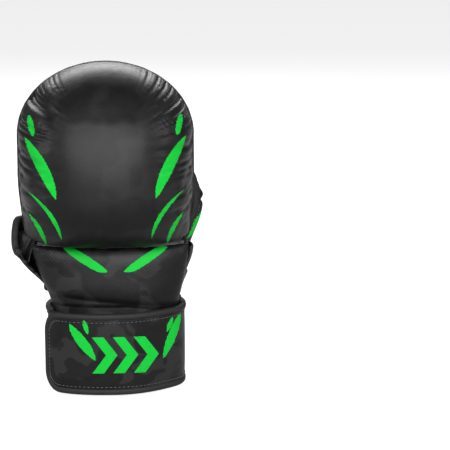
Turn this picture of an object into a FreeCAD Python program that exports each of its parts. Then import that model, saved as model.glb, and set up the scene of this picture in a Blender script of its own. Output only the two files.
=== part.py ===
"""Left-hand sparring glove for mixed martial arts, in millimetres.

The glove stands on its cuff with the fingers up (+Z), the back of the hand towards -Y, the palm
towards +Y and the thumb towards +X. The origin is the middle of the wrist opening, on the plane
that the cuff stands on. Every sewn piece is a block of one of four curved layers: the cuff's oval
tube, the knuckle hood, the palm arch and the thumb guard.
"""

import FreeCAD
import Part

import os
from math import cos, pi, radians, sin, sqrt

# ---------------------------------------------------------------- driving sizes
GAP = 0.3                    # between neighbouring sewn pieces
LEATHER = 1.3                # synthetic leather covers
LINING = 2.0                 # foam-backed lining cloth
BINDING = 5.0                # width of a rolled binding
BINDING_PROUD = 1.2          # how far a binding stands out of the edge that it holds

# cuff tube, to the inner face of its lining
WRIST_HALF_WIDTH = 46.0
WRIST_DEPTH_BACK = 25.0
WRIST_DEPTH_PALM = 26.0
TUBE_POWER = 2.4             # squareness of the oval
CUFF_PADDING = 2.0           # foam between the cuff's lining and its leather
CUFF_TOP_TILT = 6.0          # its upper edge is this much higher at the little finger, lower at the thumb
CUFF_ABOVE_STRAP = 6.0       # mean height of that edge above the strap

# wrist strap
STRAP_BOTTOM = 2.0
STRAP_WIDTH = 68.0
STRAP_THICK = 5.0
STRAP_START = 262.0          # angle where the strap is sewn to the cuff, under its own flap
STRAP_HINGE = -8.0           # angle at the thumb side where the flap starts to peel
STRAP_HINGE_GAP = 1.0        # degrees between that line and the strap on either side of it
STRAP_END = -150.0           # angle of the flap's free end
STRAP_CORNER = 17.0          # radius of the flap's rounded corners, in height
STRAP_RISE = (-40.0, -92.0)  # the flap climbs over the strap's own start between these angles
LOOP_THICK = 1.2
HOOK_THICK = 1.2
PATCH_ANGLES = (206.0, 252.0)
PATCH_MARGIN = 9.0

# padded back panel, between the cuff's edge and the knuckle crease
BACK_HEIGHT = 46.0           # mean height
BACK_THICK = 12.0
BACK_EDGE_THICK = 7.0
BACK_HALF_ANGLE = 69.0       # the panel's half spread round the tube

# the tube at the knuckle crease
KNUCKLE_HALF_LITTLE = 66.0
KNUCKLE_HALF_THUMB = 57.0
KNUCKLE_DEPTH_BACK = 18.0
KNUCKLE_DEPTH_PALM = 34.0

# heel wrap, thenar panel and side panel: heights are below the crease unless they say otherwise
WRAP_THICK = 2.4
WRAP_BULGE = 13.3            # how far the wrap stands off at the little finger's side
WRAP_RISE = 14.0             # its upper edge at the little finger's side is this far above the crease
WRAP_DROP = 23.0             # and it drops under the hood behind the little finger
WRAP_LOW_DOWN = 29.0         # upper edge in front of the thumb
WRAP_THUMB_ANGLE = 73.0      # where the heel wrap meets the thenar panel
SIDE_PANEL_DOWN = 4.0

# knuckle hood
HOOD_CREASE = 2.0            # open crease between the back panel and the hood
HOOD_CENTRE_X = -7.0
HOOD_HALF_WIDTH = 72.0
HOOD_HEIGHT = 146.0
HOOD_WAIST = 4.0             # the hood is this much narrower on each side at its bottom
HOOD_WAIST_HEIGHT = 52.0
HOOD_ARCH = 58.0             # height of the arched part of the outline
HOOD_CORNER = 6.0            # the lower corners are this much higher than the middle
HOOD_BULGE_UP = 44.0         # fullest height above the hood's lower edge
HOOD_BULGE_DOWN = 50.0       # reach of the bulge below its fullest height
HOOD_DEPTH = 78.0            # from the rim to the front of the bulge
HOOD_POWER = 2.3
RIM_Y = 6.0                  # rim's place at the bottom of the hood
RIM_LEAN = 8.0               # the rim comes this much further forward at the top
RIM_THICK = 6.0              # hood's wall at its rim
TOP_WALL = 7.0               # and at its top
HAND_BACK_Y = -18.0          # inner face of the hood behind the fingers
CURL_DOWN = 75.0             # the inside curls over the finger tips from this far below the top
DENSE_FOAM_SHARE = 0.4       # share of the hood's padding that is dense foam

# palm strip, grip roll and finger sleeves: heights are above the hood's lower edge
PALM_BULGE = 14.0            # how far the palm strip stands in front of the rim
STRIP_THICK = 2.4
STRIP_LOW_LITTLE_UP = 47.0   # lower edge at the little finger's side
STRIP_LOW_THUMB_UP = 33.0
STRIP_TOP_UP = 57.0
ROLL_RADIUS = 6.0
SLEEVE_WALL = 1.6
SLEEVE_BELOW_TOP = 39.0      # the sleeves end this far below the hood's top
SLEEVE_FOLDS = (-0.29, 0.21, 0.62)   # where two sleeves meet, as shares of the hood's inner half
SLEEVE_SIDE_GAP = 0.8
SLEEVE_POWER = 4.0

# thumb guard
THUMB_LEFT = 16.8            # the guard's inner face at its palm edge
THUMB_RIGHT = 65.0           # and at its outer side
THUMB_FOOT_RIGHT = 50.0      # the outer side comes in towards the wrist
THUMB_TAPER = 55.0           # over this height
THUMB_Y = 30.0
THUMB_HALF_DEPTH = 14.0
THUMB_POWER = 3.0
THUMB_ABOVE_WRAP = 4.0
THUMB_HEIGHT = 86.0
THUMB_INNER_SPREAD = 62.0    # degrees from the guard's crown to its palm edge
THUMB_OUTER_SPREAD = 115.0   # degrees from the crown to its outer edge
THUMB_EDGE_POWER = 2.6
THUMB_LINING = 1.5
THUMB_FOAM = 8.0
THUMB_EDGE_FOAM = 1.5
THUMB_LOOP_UP = (7.0, 37.0)  # above the guard's foot
THUMB_LOOP_HALF = (15.0, 11.5)
THUMB_LOOP_CENTRE = (34.0, 31.0)

# woven label on the strap's palm side
LABEL_ANGLES = (98.0, 116.0)
LABEL_HEIGHTS = (12.0, 56.0)
LABEL_THICK = 0.4

# ---------------------------------------------------------------- heights that follow from them
STRAP_TOP = STRAP_BOTTOM + STRAP_WIDTH
CUFF_TOP = STRAP_TOP + CUFF_ABOVE_STRAP
KNUCKLE_Z = CUFF_TOP + BACK_HEIGHT
WRAP_LOW = KNUCKLE_Z - WRAP_LOW_DOWN
WRAP_HIGH = KNUCKLE_Z + WRAP_RISE
SIDE_PANEL_TOP = KNUCKLE_Z - SIDE_PANEL_DOWN
HOOD_BOTTOM = KNUCKLE_Z + HOOD_CREASE
HOOD_TOP = HOOD_BOTTOM + HOOD_HEIGHT
HOOD_WAIST_TOP = HOOD_BOTTOM + HOOD_WAIST_HEIGHT
HOOD_BULGE_Z = HOOD_BOTTOM + HOOD_BULGE_UP
HOOD_INNER_TOP = HOOD_TOP - TOP_WALL
HOOD_INNER_CURL_Z = HOOD_TOP - CURL_DOWN
STRIP_LOW_LITTLE = HOOD_BOTTOM + STRIP_LOW_LITTLE_UP
STRIP_LOW_THUMB = HOOD_BOTTOM + STRIP_LOW_THUMB_UP
STRIP_TOP = HOOD_BOTTOM + STRIP_TOP_UP
SLEEVE_TOP = HOOD_TOP - SLEEVE_BELOW_TOP
THUMB_BOTTOM = WRAP_LOW + THUMB_ABOVE_WRAP

PARTS = "parts"


# ---------------------------------------------------------------- small helpers
def mix(low, high, share):
    return low + (high - low) * share


def ease(share):
    share = min(1.0, max(0.0, share))
    return share * share * (3 - 2 * share)


def around(turn, power):
    """The point of a unit superellipse in the direction turn."""
    across, deep = cos(turn), sin(turn)
    reach = (abs(across) ** power + abs(deep) ** power) ** (-1.0 / power)
    return across * reach, deep * reach


def half_round(share, power=2.0):
    """Height of a superellipse of unit size at this share of its half width."""
    return max(0.0, 1 - abs(share) ** power) ** (1.0 / power)


def dome(share):
    """A smooth swelling: 1 in the middle and 0 at both ends."""
    return 1 - share ** 4


def block(place, across, along):
    """The solid that place(a, b, c) fills for a, b and c from 0 to 1: c runs through its thickness."""
    skins = []
    for c in (0.0, 1.0):
        grid = [[FreeCAD.Vector(*place(i / across, j / along, c)) for j in range(along + 1)]
                for i in range(across + 1)]
        surface = Part.BSplineSurface()
        surface.interpolate(grid)
        skins.append(surface)
    faces = [surface.toShape() for surface in skins]
    outlines = []
    for surface in skins:
        u0, u1, v0, v1 = surface.bounds()
        outlines.append((surface.uIso(u0), surface.uIso(u1), surface.vIso(v0), surface.vIso(v1)))
    faces += [side_face(rail, other) for rail, other in zip(*outlines)]
    shell = Part.makeShell(faces)
    shell.sewShape()
    solid = Part.makeSolid(shell)
    if solid.Volume < 0:
        solid.reverse()
    return solid


def side_face(rail, other):
    """The face between two rails: a flat one where they lie in one plane, else a ruled one."""
    ends = (rail.StartPoint, other.StartPoint), (rail.EndPoint, other.EndPoint)
    ties = [Part.makeLine(*pair) for pair in ends]
    wire = Part.Wire(Part.__sortEdges__([rail.toShape(), ties[1], other.toShape(), ties[0]]))
    if wire.findPlane(1e-6):
        return Part.Face(wire)
    curves = (rail.copy(), other.copy())
    for curve in curves:
        curve.scaleKnotsToBounds(0.0, 1.0)
    for curve, model in (curves, curves[::-1]):
        curve.insertKnots(model.getKnots(), model.getMultiplicities(), 1e-9, False)
    poles = [list(pair) for pair in zip(curves[0].getPoles(), curves[1].getPoles())]
    surface = Part.BSplineSurface()
    surface.buildFromPolesMultsKnots(poles, curves[0].getMultiplicities(), (2, 2),
                                     curves[0].getKnots(), (0.0, 1.0), False, False,
                                     curves[0].Degree, 1)
    return surface.toShape()


def save(name, *solids):
    shape = solids[0] if len(solids) == 1 else Part.makeCompound(list(solids))
    for solid in solids:
        if not solid.isValid() or not solid.isClosed():
            raise ValueError(f"{name} isn't a valid closed solid")
    shape.exportStep(os.path.join(PARTS, name + ".step"))
    print(f"{name}: {sum(s.Volume for s in solids) / 1000:.2f} cm3")


# ---------------------------------------------------------------- cuff tube
def tube_share(z):
    """0 along the wrist, 1 at the knuckles."""
    low, high = STRAP_TOP - 12.0, KNUCKLE_Z + 4.0
    return ease((z - low) / (high - low))


def on_tube(angle, z, out):
    """A point of the cuff tube, out millimetres outside the inner face of its lining."""
    share = tube_share(z)
    across, deep = around(radians(angle), TUBE_POWER)
    knuckle_half = KNUCKLE_HALF_THUMB if across > 0 else KNUCKLE_HALF_LITTLE
    half = mix(WRIST_HALF_WIDTH, knuckle_half, share) + out
    if deep < 0:
        depth = mix(WRIST_DEPTH_BACK, KNUCKLE_DEPTH_BACK, share) + out
    else:
        depth = mix(WRIST_DEPTH_PALM, KNUCKLE_DEPTH_PALM, share) + out
    return half * across, depth * deep, z


def cuff_top(angle):
    return CUFF_TOP - CUFF_TOP_TILT * cos(radians(angle))


def tube_block(angles, low, high, inner, outer, across=16, along=4):
    """A block of the tube. low, high, inner and outer are functions of the angle (and the height)."""
    def place(a, b, c):
        angle = mix(angles[0], angles[1], a)
        z = mix(low(angle), high(angle), b)
        return on_tube(angle, z, mix(inner(angle, z), outer(angle, z), c))
    return block(place, across, along)


def level(value):
    return lambda *_: value


CUFF_SHELL_IN = LINING + GAP + CUFF_PADDING + GAP
CUFF_SHELL_OUT = CUFF_SHELL_IN + LEATHER
SEAM = 90.2                  # the cuff's layers are closed at a butt seam in the palm


def cuff_layers():
    ring = (SEAM - 360.0 + 0.4, SEAM)
    layers = {
        "cuff_lining": (0.0, LINING),
        "cuff_padding": (LINING + GAP, LINING + GAP + CUFF_PADDING),
        "cuff_shell": (CUFF_SHELL_IN, CUFF_SHELL_OUT),
    }
    for name, (inner, outer) in layers.items():
        save(name, tube_block(ring, level(0.0), cuff_top, level(inner), level(outer), 32, 5))
    edge = lambda angle: cuff_top(angle) + GAP
    top = lambda angle: cuff_top(angle) + BINDING - 0.5
    save("cuff_top_binding", tube_block((-15.0, 195.0), edge, top, level(LINING + GAP),
                                        level(CUFF_SHELL_OUT + BINDING_PROUD), 20, 2))


# ---------------------------------------------------------------- back panel
BACK_ANGLES = (270.0 - BACK_HALF_ANGLE, 270.0 + BACK_HALF_ANGLE)


def back_thick(angle, z):
    """The padded back panel is full in the middle and thinner along its edges."""
    low = cuff_top(angle)
    up = (z - low) / (KNUCKLE_Z - low)
    side = (angle - 270.0) / BACK_HALF_ANGLE
    full = dome(2 * min(1.0, max(0.0, up)) - 1) * dome(side)
    return mix(BACK_EDGE_THICK, BACK_THICK, full)


def back_panel():
    low = lambda angle: cuff_top(angle) + GAP
    top = level(KNUCKLE_Z)
    foam_in = LINING + GAP
    foam_out = lambda angle, z: back_thick(angle, z) - LEATHER - GAP
    cover_in = lambda angle, z: back_thick(angle, z) - LEATHER
    save("back_panel_lining", tube_block(BACK_ANGLES, low, top, level(0.0), level(LINING), 16, 6))
    save("back_panel_foam", tube_block(BACK_ANGLES, low, top, level(foam_in), foam_out, 16, 8))
    save("back_panel_cover", tube_block(BACK_ANGLES, low, top, cover_in, back_thick, 16, 8))


# ---------------------------------------------------------------- heel wrap and thumb side
def wrap_top(angle):
    """Upper edge of the heel wrap, from the thumb's front round to the back of the hand."""
    share = ease((angle - WRAP_THUMB_ANGLE) / (162.0 - WRAP_THUMB_ANGLE))
    return mix(WRAP_LOW, WRAP_HIGH, share) - WRAP_DROP * ease((angle - 163.0) / 24.0)


def wrap_in(angle, z):
    """The wrap lies on the cuff in the palm and stands off at the little finger's side."""
    side = ease((angle - 118.0) / 55.0)
    up = ease((z - CUFF_TOP - 4.0) / (BACK_HEIGHT - 6.0))
    return LINING + 1.0 + side * up * WRAP_BULGE


def thenar_in(angle, z):
    """The thenar panel flares out to meet the thumb guard."""
    front = ease((angle + 5.0) / 40.0)
    return LINING + 1.0 + 9.0 * front * ease((z - CUFF_TOP) / 20.0)


def heel_wrap():
    low = lambda angle: cuff_top(angle) + BINDING + GAP
    angles = (WRAP_THUMB_ANGLE, BACK_ANGLES[0] - 0.5)
    wrap_out = lambda angle, z: wrap_in(angle, z) + WRAP_THICK
    save("heel_wrap", tube_block(angles, low, wrap_top, wrap_in, wrap_out, 28, 6))
    edge = lambda angle: wrap_top(angle) + GAP
    top = lambda angle: wrap_top(angle) + BINDING
    save("heel_wrap_binding", tube_block(angles, edge, top,
                                         lambda angle, z: wrap_in(angle, z) - BINDING_PROUD,
                                         lambda angle, z: wrap_out(angle, z) + BINDING_PROUD, 28, 2))
    thumb_side = (BACK_ANGLES[1] - 360.0 + 0.5, WRAP_THUMB_ANGLE - 0.4)
    thenar_out = lambda angle, z: thenar_in(angle, z) + WRAP_THICK
    save("thenar_panel", tube_block(thumb_side, low, level(WRAP_LOW), thenar_in, thenar_out, 14, 4))
    side = (BACK_ANGLES[1] - 360.0 + 0.5, 24.0)
    panel_in = lambda angle, z: LINING + 1.0 + 3.0 * ease((z - WRAP_LOW) / 25.0)
    panel_out = lambda angle, z: panel_in(angle, z) + WRAP_THICK
    save("thumb_side_panel", tube_block(side, level(WRAP_LOW + GAP), level(SIDE_PANEL_TOP), panel_in,
                                        panel_out, 8, 6))


# ---------------------------------------------------------------- wrist strap
STRAP_LIFT = LOOP_THICK + HOOK_THICK + STRAP_THICK + 3 * GAP


def strap_in(angle, z=0.0):
    """Inner face of the strap: it climbs over its own start near the middle of the hand's back."""
    climb = ease((STRAP_RISE[0] - angle) / (STRAP_RISE[0] - STRAP_RISE[1]))
    return CUFF_SHELL_OUT + GAP + climb * STRAP_LIFT


def strap_out(angle, z=0.0):
    return strap_in(angle) + STRAP_THICK


def flap_edge_drop(angle):
    """How far the flap's upper and lower edges come in towards its rounded end."""
    corner = 16.0            # the corner's length in degrees round the tube
    into = (STRAP_END + corner - angle) / corner
    return STRAP_CORNER * (1 - half_round(min(1.0, max(0.0, into)) * 0.985))


def strap():
    low = STRAP_BOTTOM + BINDING
    high = STRAP_BOTTOM + STRAP_WIDTH - BINDING
    fixed = (STRAP_HINGE + STRAP_HINGE_GAP, STRAP_START)
    middle = lambda angle, z: mix(strap_in(angle), strap_out(angle), 0.5)
    core_out = lambda angle, z: middle(angle, z) - GAP
    low_edge, high_edge = level(low + GAP), level(high - GAP)
    save("strap_wrap_cover", tube_block(fixed, low_edge, high_edge, middle, strap_out, 28, 3))
    save("strap_wrap_core", tube_block(fixed, low_edge, high_edge, strap_in, core_out, 28, 3))
    bound_in = lambda angle, z: strap_in(angle)
    bound_out = lambda angle, z: strap_out(angle) + BINDING_PROUD / 2
    save("strap_bottom_binding",
         tube_block((fixed[0], 204.0), level(STRAP_BOTTOM), level(low), bound_in, bound_out, 24, 2))
    save("strap_top_binding",
         tube_block((fixed[0], 204.0), level(high), level(high + BINDING), bound_in, bound_out, 24, 2))
    patch_low, patch_high = level(low + PATCH_MARGIN), level(high - PATCH_MARGIN)
    on_strap = CUFF_SHELL_OUT + GAP + STRAP_THICK + GAP
    save("loop_patch", tube_block(PATCH_ANGLES, patch_low, patch_high, level(on_strap),
                                  level(on_strap + LOOP_THICK), 10, 3))
    label_in = CUFF_SHELL_OUT + GAP + STRAP_THICK + GAP
    save("size_label", tube_block(LABEL_ANGLES, level(LABEL_HEIGHTS[0]), level(LABEL_HEIGHTS[1]),
                                  level(label_in), level(label_in + LABEL_THICK), 6, 3))


def strap_flap():
    middle = STRAP_BOTTOM + STRAP_WIDTH / 2
    half = STRAP_WIDTH / 2

    def flap_point(share, height, out_share, proud=0.0):
        """share runs from the hinge to the free end, height from -1 to 1 across the flap."""
        angle = mix(STRAP_HINGE - STRAP_HINGE_GAP, STRAP_END, share)
        reach = half - flap_edge_drop(angle)
        out = mix(strap_in(angle), strap_out(angle) + proud, out_share)
        return on_tube(angle, middle + reach * height, out)

    inset = 1 - (BINDING + GAP) / half
    end = 1 - (BINDING + 1.0) / 150.0
    save("strap_flap_cover",
         block(lambda a, b, c: flap_point(a * end, inset * (2 * b - 1), mix(0.5, 1.0, c)), 28, 6))
    save("strap_flap_core",
         block(lambda a, b, c: flap_point(a * end, inset * (2 * b - 1), mix(0.06, 0.44, c)), 28, 6))
    rolls = []
    for sign in (-1, 1):
        rolls.append(block(lambda a, b, c: flap_point(a * end, sign * mix(1 - BINDING / half, 1, b), c,
                                                      BINDING_PROUD / 2), 28, 2))
    rolls.append(block(lambda a, b, c: flap_point(mix(end + 0.004, 1.0, a), 2 * b - 1, c,
                                                  BINDING_PROUD / 2), 2, 8))
    save("strap_flap_binding", *rolls)
    low, high = STRAP_BOTTOM + BINDING + PATCH_MARGIN, STRAP_BOTTOM + STRAP_WIDTH - BINDING - PATCH_MARGIN
    hook_out = strap_in(STRAP_END) - GAP / 3
    angles = tuple(angle - 360.0 for angle in PATCH_ANGLES)
    save("hook_patch", tube_block((angles[0] + 4.0, angles[1]), level(low), level(high),
                                  level(hook_out - HOOK_THICK), level(hook_out), 10, 3))


# ---------------------------------------------------------------- knuckle hood
def rim_y(z):
    return RIM_Y + RIM_LEAN * (z - HOOD_BOTTOM) / (HOOD_TOP - HOOD_BOTTOM)


ARCH_Z = HOOD_TOP - HOOD_ARCH
INNER_HALF = HOOD_HALF_WIDTH - RIM_THICK
INNER_ARCH_Z = ARCH_Z - 4.0
FOLDS = [HOOD_CENTRE_X + share * INNER_HALF for share in SLEEVE_FOLDS]


def waist(z):
    return HOOD_WAIST * ease((HOOD_WAIST_TOP - z) / (HOOD_WAIST_TOP - HOOD_BOTTOM))


def hood_half(z):
    return HOOD_HALF_WIDTH * half_round(max(0.0, z - ARCH_Z) / HOOD_ARCH) - waist(z)


def hood_depth(z):
    if z >= HOOD_BULGE_Z:
        return HOOD_DEPTH * half_round((z - HOOD_BULGE_Z) / (HOOD_TOP - HOOD_BULGE_Z), HOOD_POWER)
    return HOOD_DEPTH * half_round((HOOD_BULGE_Z - z) / HOOD_BULGE_DOWN, HOOD_POWER)


def hand_half(z):
    arch = max(0.0, z - INNER_ARCH_Z) / (HOOD_INNER_TOP - INNER_ARCH_Z)
    return INNER_HALF * half_round(arch) - waist(z)


def hand_depth(z):
    curl = half_round(max(0.0, z - HOOD_INNER_CURL_Z) / (HOOD_INNER_TOP - HOOD_INNER_CURL_Z))
    return (rim_y(z) - HAND_BACK_Y) * curl


def hood_place(a, b, half, arch_z, top):
    """Where a (little finger to thumb) and b (crease to top) lie in the hood's arched outline.

    The rows run level up to the arch and then bend with it, so that no row shrinks to a point.
    """
    side = sin(pi / 2 * (2 * a - 1))
    straight = 0.45
    if b < straight:
        z = mix(HOOD_BOTTOM + HOOD_CORNER * abs(side) ** 3, arch_z, b / straight)
        return (half - waist(z)) * side, z
    rise = sin(pi / 2 * (b - straight) / (1 - straight))
    across, up = side * sqrt(1 - rise * rise / 2), rise * sqrt(1 - side * side / 2)
    return half * across, arch_z + (top - arch_z) * up


def hood_skin(a, b, outer):
    """A point of the hood's inner or outer face."""
    if outer:
        x, z = hood_place(a, b, HOOD_HALF_WIDTH, ARCH_Z, HOOD_TOP)
        half, depth = hood_half(z), hood_depth(z)
    else:
        x, z = hood_place(a, b, INNER_HALF, INNER_ARCH_Z, HOOD_INNER_TOP)
        half, depth = hand_half(z), hand_depth(z)
    share = min(1.0, abs(x) / max(half, 0.001))
    return FreeCAD.Vector(HOOD_CENTRE_X + x, rim_y(z) - depth * half_round(share, HOOD_POWER), z)


def hood_block(inner, outer, across=24, along=20):
    """A layer of the hood. inner and outer give, from its thickness, the distance from its inner face."""
    def place(a, b, c):
        low, high = hood_skin(a, b, False), hood_skin(a, b, True)
        thick = (high - low).Length
        return low + (high - low) * (mix(inner(thick), outer(thick), c) / thick)
    return block(place, across, along)


def rim_point(share, width_share, out):
    """Round the rim: share from the little finger's lower corner over the top to the thumb's."""
    half = mix(INNER_HALF, HOOD_HALF_WIDTH, width_share)
    arch_z = mix(INNER_ARCH_Z, ARCH_Z, width_share)
    arch = mix(HOOD_INNER_TOP, HOOD_TOP, width_share) - arch_z
    low = HOOD_BOTTOM + HOOD_CORNER
    straight = 0.18
    if share < straight:
        z = mix(low, arch_z, share / straight)
        x = waist(z) - half
    elif share > 1 - straight:
        z = mix(low, arch_z, (1 - share) / straight)
        x = half - waist(z)
    else:
        turn = pi * (1 - (share - straight) / (1 - 2 * straight))
        x, z = half * cos(turn), arch_z + arch * sin(turn)
    return (HOOD_CENTRE_X + x, rim_y(z) + out, z)


def knuckle_hood():
    foam_in = LINING + GAP
    foam_out = lambda thick: thick - LEATHER - GAP
    split = lambda thick: mix(foam_in, foam_out(thick), DENSE_FOAM_SHARE)
    save("knuckle_lining", hood_block(level(0.0), level(LINING)))
    save("knuckle_foam_dense", hood_block(level(foam_in), lambda t: split(t) - GAP / 2))
    save("knuckle_foam_soft", hood_block(lambda t: split(t) + GAP / 2, foam_out))
    save("knuckle_cover", hood_block(lambda t: t - LEATHER, lambda t: t))
    save("rim_binding", block(lambda a, b, c: rim_point(a, b, mix(GAP + 0.2, BINDING, c)), 40, 2))


# ---------------------------------------------------------------- palm arch
def palm_y(x):
    """Inner face of the palm strip: an arch from rim to rim in front of the fingers."""
    return rim_y(STRIP_TOP) + PALM_BULGE * half_round((x - HOOD_CENTRE_X) / INNER_HALF)


def strip_low(x):
    left, right = HOOD_CENTRE_X - INNER_HALF, HOOD_CENTRE_X + INNER_HALF
    return mix(STRIP_LOW_LITTLE, STRIP_LOW_THUMB, (x - left) / (right - left))


def palm_strip():
    def place(low, high, inner, outer):
        def point(a, b, c):
            turn = mix(radians(8.0), pi - radians(8.0), a)
            x = HOOD_CENTRE_X - (hand_half(STRIP_LOW_THUMB) - 0.5) * cos(turn)
            return (x, palm_y(x) + mix(inner, outer, c), mix(low(x), high(x), b))
        return point
    edge = lambda x: strip_low(x) + BINDING
    save("palm_strip", block(place(lambda x: edge(x) + GAP, level(STRIP_TOP), 0.0, STRIP_THICK), 16, 2))
    save("palm_strip_binding",
         block(place(strip_low, edge, -BINDING_PROUD, STRIP_THICK + BINDING_PROUD), 16, 2))
    middle = (FOLDS[0] + FOLDS[2]) / 2
    start = FreeCAD.Vector(FOLDS[0], palm_y(middle) - 2.0, STRIP_TOP + GAP + ROLL_RADIUS)
    length, along = FOLDS[2] - FOLDS[0], FreeCAD.Vector(1, 0, 0)
    core_radius = ROLL_RADIUS - LEATHER - GAP
    tube = Part.makeCylinder(ROLL_RADIUS, length, start, along)
    save("grip_roll_cover", tube.cut(Part.makeCylinder(ROLL_RADIUS - LEATHER, length, start, along)))
    save("grip_roll_core", Part.makeCylinder(core_radius, length, start, along))


def lining_y(x, z):
    """The hood's inner face behind the fingers."""
    share = (x - HOOD_CENTRE_X) / hand_half(z)
    return rim_y(z) - hand_depth(z) * half_round(share, HOOD_POWER)


def finger_sleeves():
    names = ("little", "ring", "middle", "index")
    for number, name in enumerate(names):
        outer_one = name in ("little", "index")
        low = STRIP_TOP + 1.5 if outer_one else STRIP_TOP + 2 * ROLL_RADIUS + 2 * GAP + 1.0

        def sleeve(a, b, c, number=number, low=low):
            z = mix(low, SLEEVE_TOP, b)
            across, deep = around(mix(radians(-89.6), radians(269.6), a), SLEEVE_POWER)
            reach = hand_half(z) - 3.0
            edges = (HOOD_CENTRE_X - reach, *FOLDS, HOOD_CENTRE_X + reach)
            wall = SLEEVE_WALL * (1 - c)
            left, right = edges[number] + SLEEVE_SIDE_GAP / 2, edges[number + 1] - SLEEVE_SIDE_GAP / 2
            x = mix(left + wall, right - wall, (1 + across) / 2)
            back, front = lining_y(x, z) + 1.2 + wall, palm_y(x) + STRIP_THICK - wall
            return x, mix(back, front, (1 + deep) / 2), z

        save(name + "_finger_sleeve", block(sleeve, 32, 5))


# ---------------------------------------------------------------- thumb guard
def guard_edge(turn):
    """Angle round the guard and height of its bound edge, for a turn from 0 (palm edge) to pi."""
    if turn < pi / 2:
        rise = half_round(cos(turn), THUMB_EDGE_POWER)
        return 90.0 + THUMB_INNER_SPREAD * cos(turn), THUMB_BOTTOM + THUMB_HEIGHT * rise
    return 90.0 + THUMB_OUTER_SPREAD * cos(turn), THUMB_BOTTOM + THUMB_HEIGHT * sin(turn)


def on_guard(angle, z, out):
    up = ease((z - THUMB_BOTTOM) / THUMB_TAPER)
    right = mix(THUMB_FOOT_RIGHT, THUMB_RIGHT, up)
    reach = -around(radians(90.0 + THUMB_INNER_SPREAD), THUMB_POWER)[0]
    half = (right - THUMB_LEFT) / (1 + reach)
    across, deep = around(radians(angle), THUMB_POWER)
    return right - half + (half + out) * across, THUMB_Y + (THUMB_HALF_DEPTH + out) * deep, z


GUARD_TURNS = (radians(14.0), radians(168.0))


def guard_foam(a, b):
    """Foam thickness of the guard: full in the middle, thin along the bound edge."""
    full = dome(2 * a - 1) * dome(max(0.0, 2 * b - 1))
    return mix(THUMB_EDGE_FOAM, THUMB_FOAM, full)


def guard_block(inner, outer, low_share=0.0, high_share=1.0, along=8):
    def place(a, b, c):
        angle, top = guard_edge(mix(GUARD_TURNS[0], GUARD_TURNS[1], a))
        share = mix(low_share, high_share, b)
        z = mix(THUMB_BOTTOM, top - BINDING, share)
        return on_guard(angle, z, mix(inner(a, share), outer(a, share), c))
    return block(place, 20, along)


def thumb_guard():
    foam_in = THUMB_LINING + GAP
    foam_out = lambda a, b: foam_in + guard_foam(a, b)
    cover_in = lambda a, b: foam_out(a, b) + GAP
    cover_out = lambda a, b: cover_in(a, b) + LEATHER
    save("thumb_lining", guard_block(level(0.0), level(THUMB_LINING)))
    save("thumb_foam", guard_block(level(foam_in), foam_out))
    save("thumb_cover", guard_block(cover_in, cover_out))

    def binding(a, b, c):
        angle, top = guard_edge(mix(GUARD_TURNS[0], GUARD_TURNS[1], a))
        out = mix(-0.6, cover_out(0.0, 1.0) + BINDING_PROUD, c)
        return on_guard(angle, mix(top - BINDING + GAP, top, b), out)

    save("thumb_binding", block(binding, 24, 2))

    def loop(a, b, c):
        across, deep = around(mix(radians(-89.5), radians(269.5), a), THUMB_POWER)
        half = [size - LEATHER * (1 - c) for size in THUMB_LOOP_HALF]
        x, y = THUMB_LOOP_CENTRE[0] + half[0] * across, THUMB_LOOP_CENTRE[1] + half[1] * deep
        return x, y, THUMB_BOTTOM + mix(THUMB_LOOP_UP[0], THUMB_LOOP_UP[1], b)

    save("thumb_loop", block(loop, 28, 2))


def main():
    os.makedirs(PARTS, exist_ok=True)
    cuff_layers()
    back_panel()
    heel_wrap()
    strap()
    strap_flap()
    knuckle_hood()
    palm_strip()
    finger_sleeves()
    thumb_guard()


main()
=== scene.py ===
"""Left-hand sparring glove: its sewn pieces, paddings and finishes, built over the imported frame."""

from math import atan2, cos, pi, radians, sin, sqrt

import bmesh
import bpy
from bpy.props import FloatProperty, FloatVectorProperty, PointerProperty
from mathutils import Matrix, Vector, noise


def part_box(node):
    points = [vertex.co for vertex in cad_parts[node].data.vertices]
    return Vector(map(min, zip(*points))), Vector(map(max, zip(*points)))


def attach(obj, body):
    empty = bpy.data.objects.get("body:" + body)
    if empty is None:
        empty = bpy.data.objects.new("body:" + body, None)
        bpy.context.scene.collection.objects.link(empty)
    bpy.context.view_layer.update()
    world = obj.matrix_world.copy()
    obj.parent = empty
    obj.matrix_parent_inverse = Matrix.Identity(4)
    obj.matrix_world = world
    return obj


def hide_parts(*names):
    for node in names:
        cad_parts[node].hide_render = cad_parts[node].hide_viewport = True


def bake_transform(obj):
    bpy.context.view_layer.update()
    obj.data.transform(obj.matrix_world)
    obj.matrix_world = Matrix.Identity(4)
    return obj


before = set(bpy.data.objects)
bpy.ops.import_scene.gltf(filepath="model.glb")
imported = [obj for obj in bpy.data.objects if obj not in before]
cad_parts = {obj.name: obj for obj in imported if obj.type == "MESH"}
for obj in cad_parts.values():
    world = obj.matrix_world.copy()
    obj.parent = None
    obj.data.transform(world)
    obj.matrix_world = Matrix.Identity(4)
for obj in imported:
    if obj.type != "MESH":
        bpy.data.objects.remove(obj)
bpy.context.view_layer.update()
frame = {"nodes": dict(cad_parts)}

bl_info = {
    "name": "Sparring Glove",
    "version": (1, 0, 0),
    "blender": (4, 5, 0),
    "location": "3D View > Sidebar > Glove",
    "description": "Builds the leather, linings, bindings and stitching of a sparring glove",
    "category": "Object",
}

MM = 0.001


def box_mm(node):
    low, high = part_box(node)
    return Vector(low) / MM, Vector(high) / MM


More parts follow.
